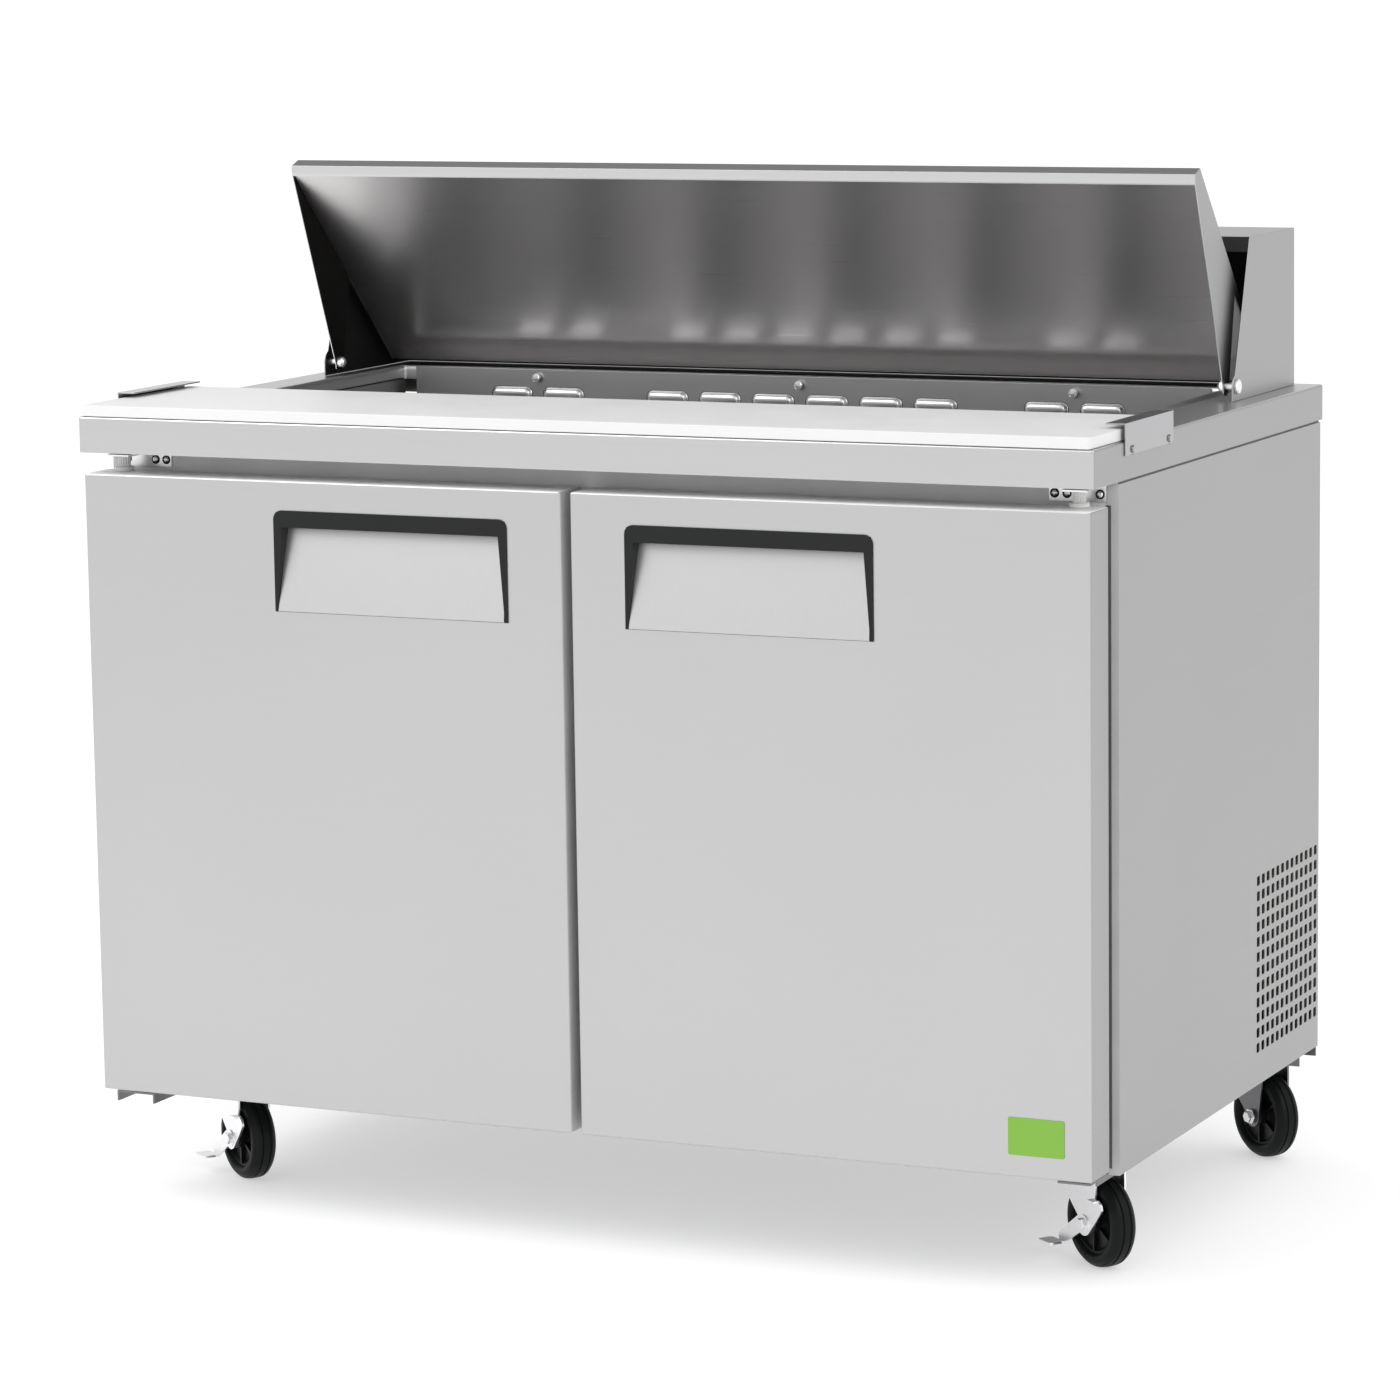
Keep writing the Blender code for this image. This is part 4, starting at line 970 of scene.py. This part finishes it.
def wheel_parts():
    """A two-step tread on a dished hub with six ribs a side, turned about Y."""
    half = 0.0150
    upper = [
        (0.0330, half - 0.0052),
        (0.0352, half - 0.0050),
        (0.0372, half - 0.0010),
        (0.0385, half - 0.0002),
        (0.0440, half - 0.0002),
        (0.0456, half - 0.0012),
        (0.0466, half - 0.0030),
        (0.0488, half - 0.0042),
        (0.0500, half - 0.0062),
        (0.0506, half - 0.0088),
        (0.0494, half - 0.0094),
        (0.0494, half - 0.0108),
        (WHEEL_RADIUS, half - 0.0114),
        (WHEEL_RADIUS, half - 0.0130),
    ]
    lower = [(radius, -up) for radius, up in reversed(upper)]
    tyre = turned(upper + lower + upper[:1], ACROSS["Y"], 64, "tyre")
    hub_half = 0.0165
    upper = [
        (0.0045, hub_half),
        (0.0105, hub_half),
        (0.0118, hub_half - 0.0012),
        (0.0124, 0.0070),
        (0.0150, 0.0058),
        (0.0290, 0.0062),
        (0.0316, 0.0080),
        (0.0326, half - 0.0050),
        (0.0331, half - 0.0050),
    ]
    lower = [(radius, -up) for radius, up in reversed(upper)]
    hub = turned(upper + lower + upper[:1], ACROSS["Y"], 48, "hub")
    ribs = []
    for i in range(6):
        turn = Matrix.Rotation(math.tau * (i + 0.5) / 6, 4, "Y")
        rib = boxes([((0.0110, -0.0105, -0.0011), (0.0325, 0.0105, 0.0011))])
        rib.data.transform(turn)
        ribs.append(rib)
    fuse(hub, *ribs)
    return smooth(tyre, 50).data, smooth(hub, 35).data, [tyre, hub]


def fork_part():
    """Two tapering legs bent down from a round crown."""
    top = 0.127 - 0.0137
    outer, inner = 0.0205, 0.0180
    outline = [(-outer, 0), (-inner, 0), (-inner, top - 0.0045), (-inner + 0.002, top - 0.0028)]
    outline += [(inner - 0.002, top - 0.0028), (inner, top - 0.0045), (inner, 0), (outer, 0)]
    outline += [(outer, top - 0.0045), (outer - 0.0013, top - 0.0013), (outer - 0.0045, top)]
    outline += [(-outer + 0.0045, top), (-outer + 0.0013, top - 0.0013), (-outer, top - 0.0045)]
    fork = prism(outline, -0.1, 0.1, "X")
    end = arc((TRAIL, WHEEL_RADIUS), 0.0128, 12, -192, 14)
    side_view = [(-0.030, 0.2), (0.046, 0.2), (0.046, top - 0.026), *end, (-0.030, top - 0.016)]
    overlap(fork, prism(side_view, -0.1, 0.1, "Y"))
    crown = rod((0, 0, top - 0.0010), 0.0232, 0.0030, segments=40)
    fuse(fork, crown)
    return settle(soften(fork, 0.0005, 2))


def bolt_part():
    profile = [(0, 0.0296), (0.0058, 0.0294), (0.0070, 0.0284), (0.0070, 0.0248)]
    profile += [(0.0092, 0.0246), (0.0096, 0.0240), (0.0096, 0.0236), (0, 0.0236)]
    head = turned(profile, ACROSS["Y"], 6, "bolt")
    shank = rod((0, 0, 0), 0.0040, 0.048, "Y", 20)
    tail = turned(profile, Matrix.Rotation(math.pi, 4, "Z") @ ACROSS["Y"], 6, "bolt")
    return smooth(fuse(head, shank, tail), 20)


def pedal_part():
    """A flat brake lever with a boss round the axle and a tread at its low end."""
    lever = [
        *arc((-0.0400, -0.0235), 0.0082, 120, 270, 8),
        *arc((0, 0), 0.0135, 238, 322, 8),
        (0.0270, 0.0105),
        *arc((0.0245, 0.0215), 0.0090, -20, 130, 8),
    ]
    plate = prism(lever, -0.0236, -0.0209, "Y")
    boss = rod((0, -0.0225, 0), 0.0100, 0.0042, "Y", 32)
    fuse(plate, boss)
    fuse(plate, boxes([((0.0140, -0.0290, 0.0286), (0.0270, -0.0212, 0.0306))]))
    tab = boxes([((-0.0660, -0.0400, -0.0312), (-0.0400, -0.0212, -0.0288))], "tab", 0.004)
    fuse(plate, tab)
    cut(plate, rod((0, 0, 0), 0.0045, 0.09, "Y", 20))
    return settle(soften(plate, 0.0004, 2))


def put(mesh, place, label, material, body, replaced=()):
    """A copy of a caster's part, in place on its body."""
    obj = linked(label, mesh.copy())
    obj.matrix_world = place
    return piece(obj, label, material, body, replaced)


def folded(obj):
    """Smooth bends between flat sheet faces."""
    obj.data.shade_smooth()
    return weighted(obj)


def build_casters():
    tyre, hub, wheel_spares = wheel_parts()
    fork, bolt, pedal = fork_part(), bolt_part(), pedal_part()
    for row, out, back in CASTERS:
        for name, side in SIDES:
            corner = f"{row}_{name}"
            wheel, caster, brake = f"wheel_{corner}", f"caster_{corner}", f"brake_{corner}"
            turn = Matrix.Rotation(CASTER_TURN, 4, "Z")
            swivel = Matrix.Translation((side * out, depth(back), 0)) @ turn
            axle = swivel @ Matrix.Translation((TRAIL, 0, WHEEL_RADIUS))
            # The rear casters' plating is darkened as painted shade, the front casters' bright.
            plating = ZINC if row == "front" else DARK_ZINC_AND_SHADE
            put(tyre, axle, f"tyre_{corner}", RUBBER, wheel, [f"caster_wheel_{corner}"])
            put(hub, axle, f"hub_{corner}", HUB, wheel)
            replaced = [f"caster_fork_{corner}"]
            folded(put(fork.data, swivel, f"fork_{corner}", plating, caster, replaced))
            put(bolt.data, axle, f"axle_bolt_{corner}", ZINC, caster)
            if row == "front":
                replaced = [f"brake_pedal_{corner}"]
                folded(put(pedal.data, axle, f"pedal_{corner}", ZINC, brake, replaced))
            refine(f"caster_plate_{corner}", plating, width=0.0005)
    for spare in (*wheel_spares, fork, bolt, pedal):
        bpy.data.objects.remove(spare)


# ---- Stage ----
def build_stage():
    bm = bmesh.new()
    bmesh.ops.create_grid(bm, x_segments=1, y_segments=1, size=150)
    floor = object_from(bm, "studio_floor")
    for vertex in floor.data.vertices:
        vertex.co.z = 0.0
    material, tree, shader = nodes_of("studio_floor")
    shader.inputs["Base Color"].default_value = (0.62, 0.62, 0.62, 1)
    shader.inputs["Emission Color"].default_value = (1, 1, 1, 1)
    shader.inputs["Emission Strength"].default_value = 0.48
    shader.inputs["Roughness"].default_value = 0.9
    shader.inputs["Specular IOR Level"].default_value = 0.1
    floor.data.materials.append(material)

    world = bpy.data.worlds.new("studio")
    bpy.context.scene.world = world
    world.use_nodes = True
    tree = world.node_tree
    background = tree.nodes["Background"]
    coordinates = tree.nodes.new("ShaderNodeTexCoord")
    split = tree.nodes.new("ShaderNodeSeparateXYZ")
    tone = tree.nodes.new("ShaderNodeMapRange")
    tone.inputs["From Min"].default_value = -1.0
    tone.inputs["From Max"].default_value = 1.0
    tone.inputs["To Min"].default_value = 1.02
    tone.inputs["To Max"].default_value = 0.84
    tree.links.new(coordinates.outputs["Generated"], split.inputs["Vector"])
    tree.links.new(split.outputs["Y"], tone.inputs["Value"])
    tree.links.new(tone.outputs["Result"], background.inputs["Strength"])
    background.inputs["Color"].default_value = (1, 1, 1, 1)

    def area(name, place, target, size, energy):
        light = bpy.data.lights.new(name, "AREA")
        light.shape = "RECTANGLE"
        light.size, light.size_y = size
        light.energy = energy
        obj = linked(name, light)
        obj.location = place
        aim = Vector(target) - Vector(place)
        obj.rotation_euler = aim.to_track_quat("-Z", "Y").to_euler()

    area("key_softbox", (-2.2, -2.6, 3.4), (0, 0, 0.6), (2.4, 2.4), 60)
    area("fill_softbox", (3.0, -1.2, 2.6), (0, 0, 0.6), (2.0, 2.0), 25)


# The lens in widths of the frame, from the fit to the photo.
LENS_IN_FRAMES = 5128.46 / 1400


def build_camera():
    """Stands at the front right, a little above the worktop, with a long lens."""
    place = Vector((2.4660, -4.9575 - DEPTH / 2, 0.5641 + WORK_HEIGHT))
    yaw, pitch, roll = (math.radians(a) for a in (24.9493, 8.8261, -0.8199))
    forward = Vector(
        (-math.sin(yaw) * math.cos(pitch), math.cos(yaw) * math.cos(pitch), -math.sin(pitch))
    )
    level = Vector((math.cos(yaw), math.sin(yaw), 0))
    upward = level.cross(forward)
    right = math.cos(roll) * level + math.sin(roll) * upward
    upward = -math.sin(roll) * level + math.cos(roll) * upward
    data = bpy.data.cameras.new("camera")
    data.sensor_width = 36.0
    data.lens = data.sensor_width * LENS_IN_FRAMES
    data.clip_end = 500
    camera = linked("camera", data)
    turn = Matrix((right, upward, -forward)).transposed()
    camera.matrix_world = Matrix.Translation(place) @ turn.to_4x4()
    bpy.context.scene.camera = camera


def main():
    bpy.context.scene.view_settings.view_transform = "Standard"
    build_stage()
    build_camera()
    build_worktop()
    build_board()
    build_brackets()
    build_hood_and_lid()
    build_duct()
    build_pans()
    build_doors()
    build_side_panels()
    build_cabinet()
    build_shelves()
    build_machinery()
    build_casters()


main()
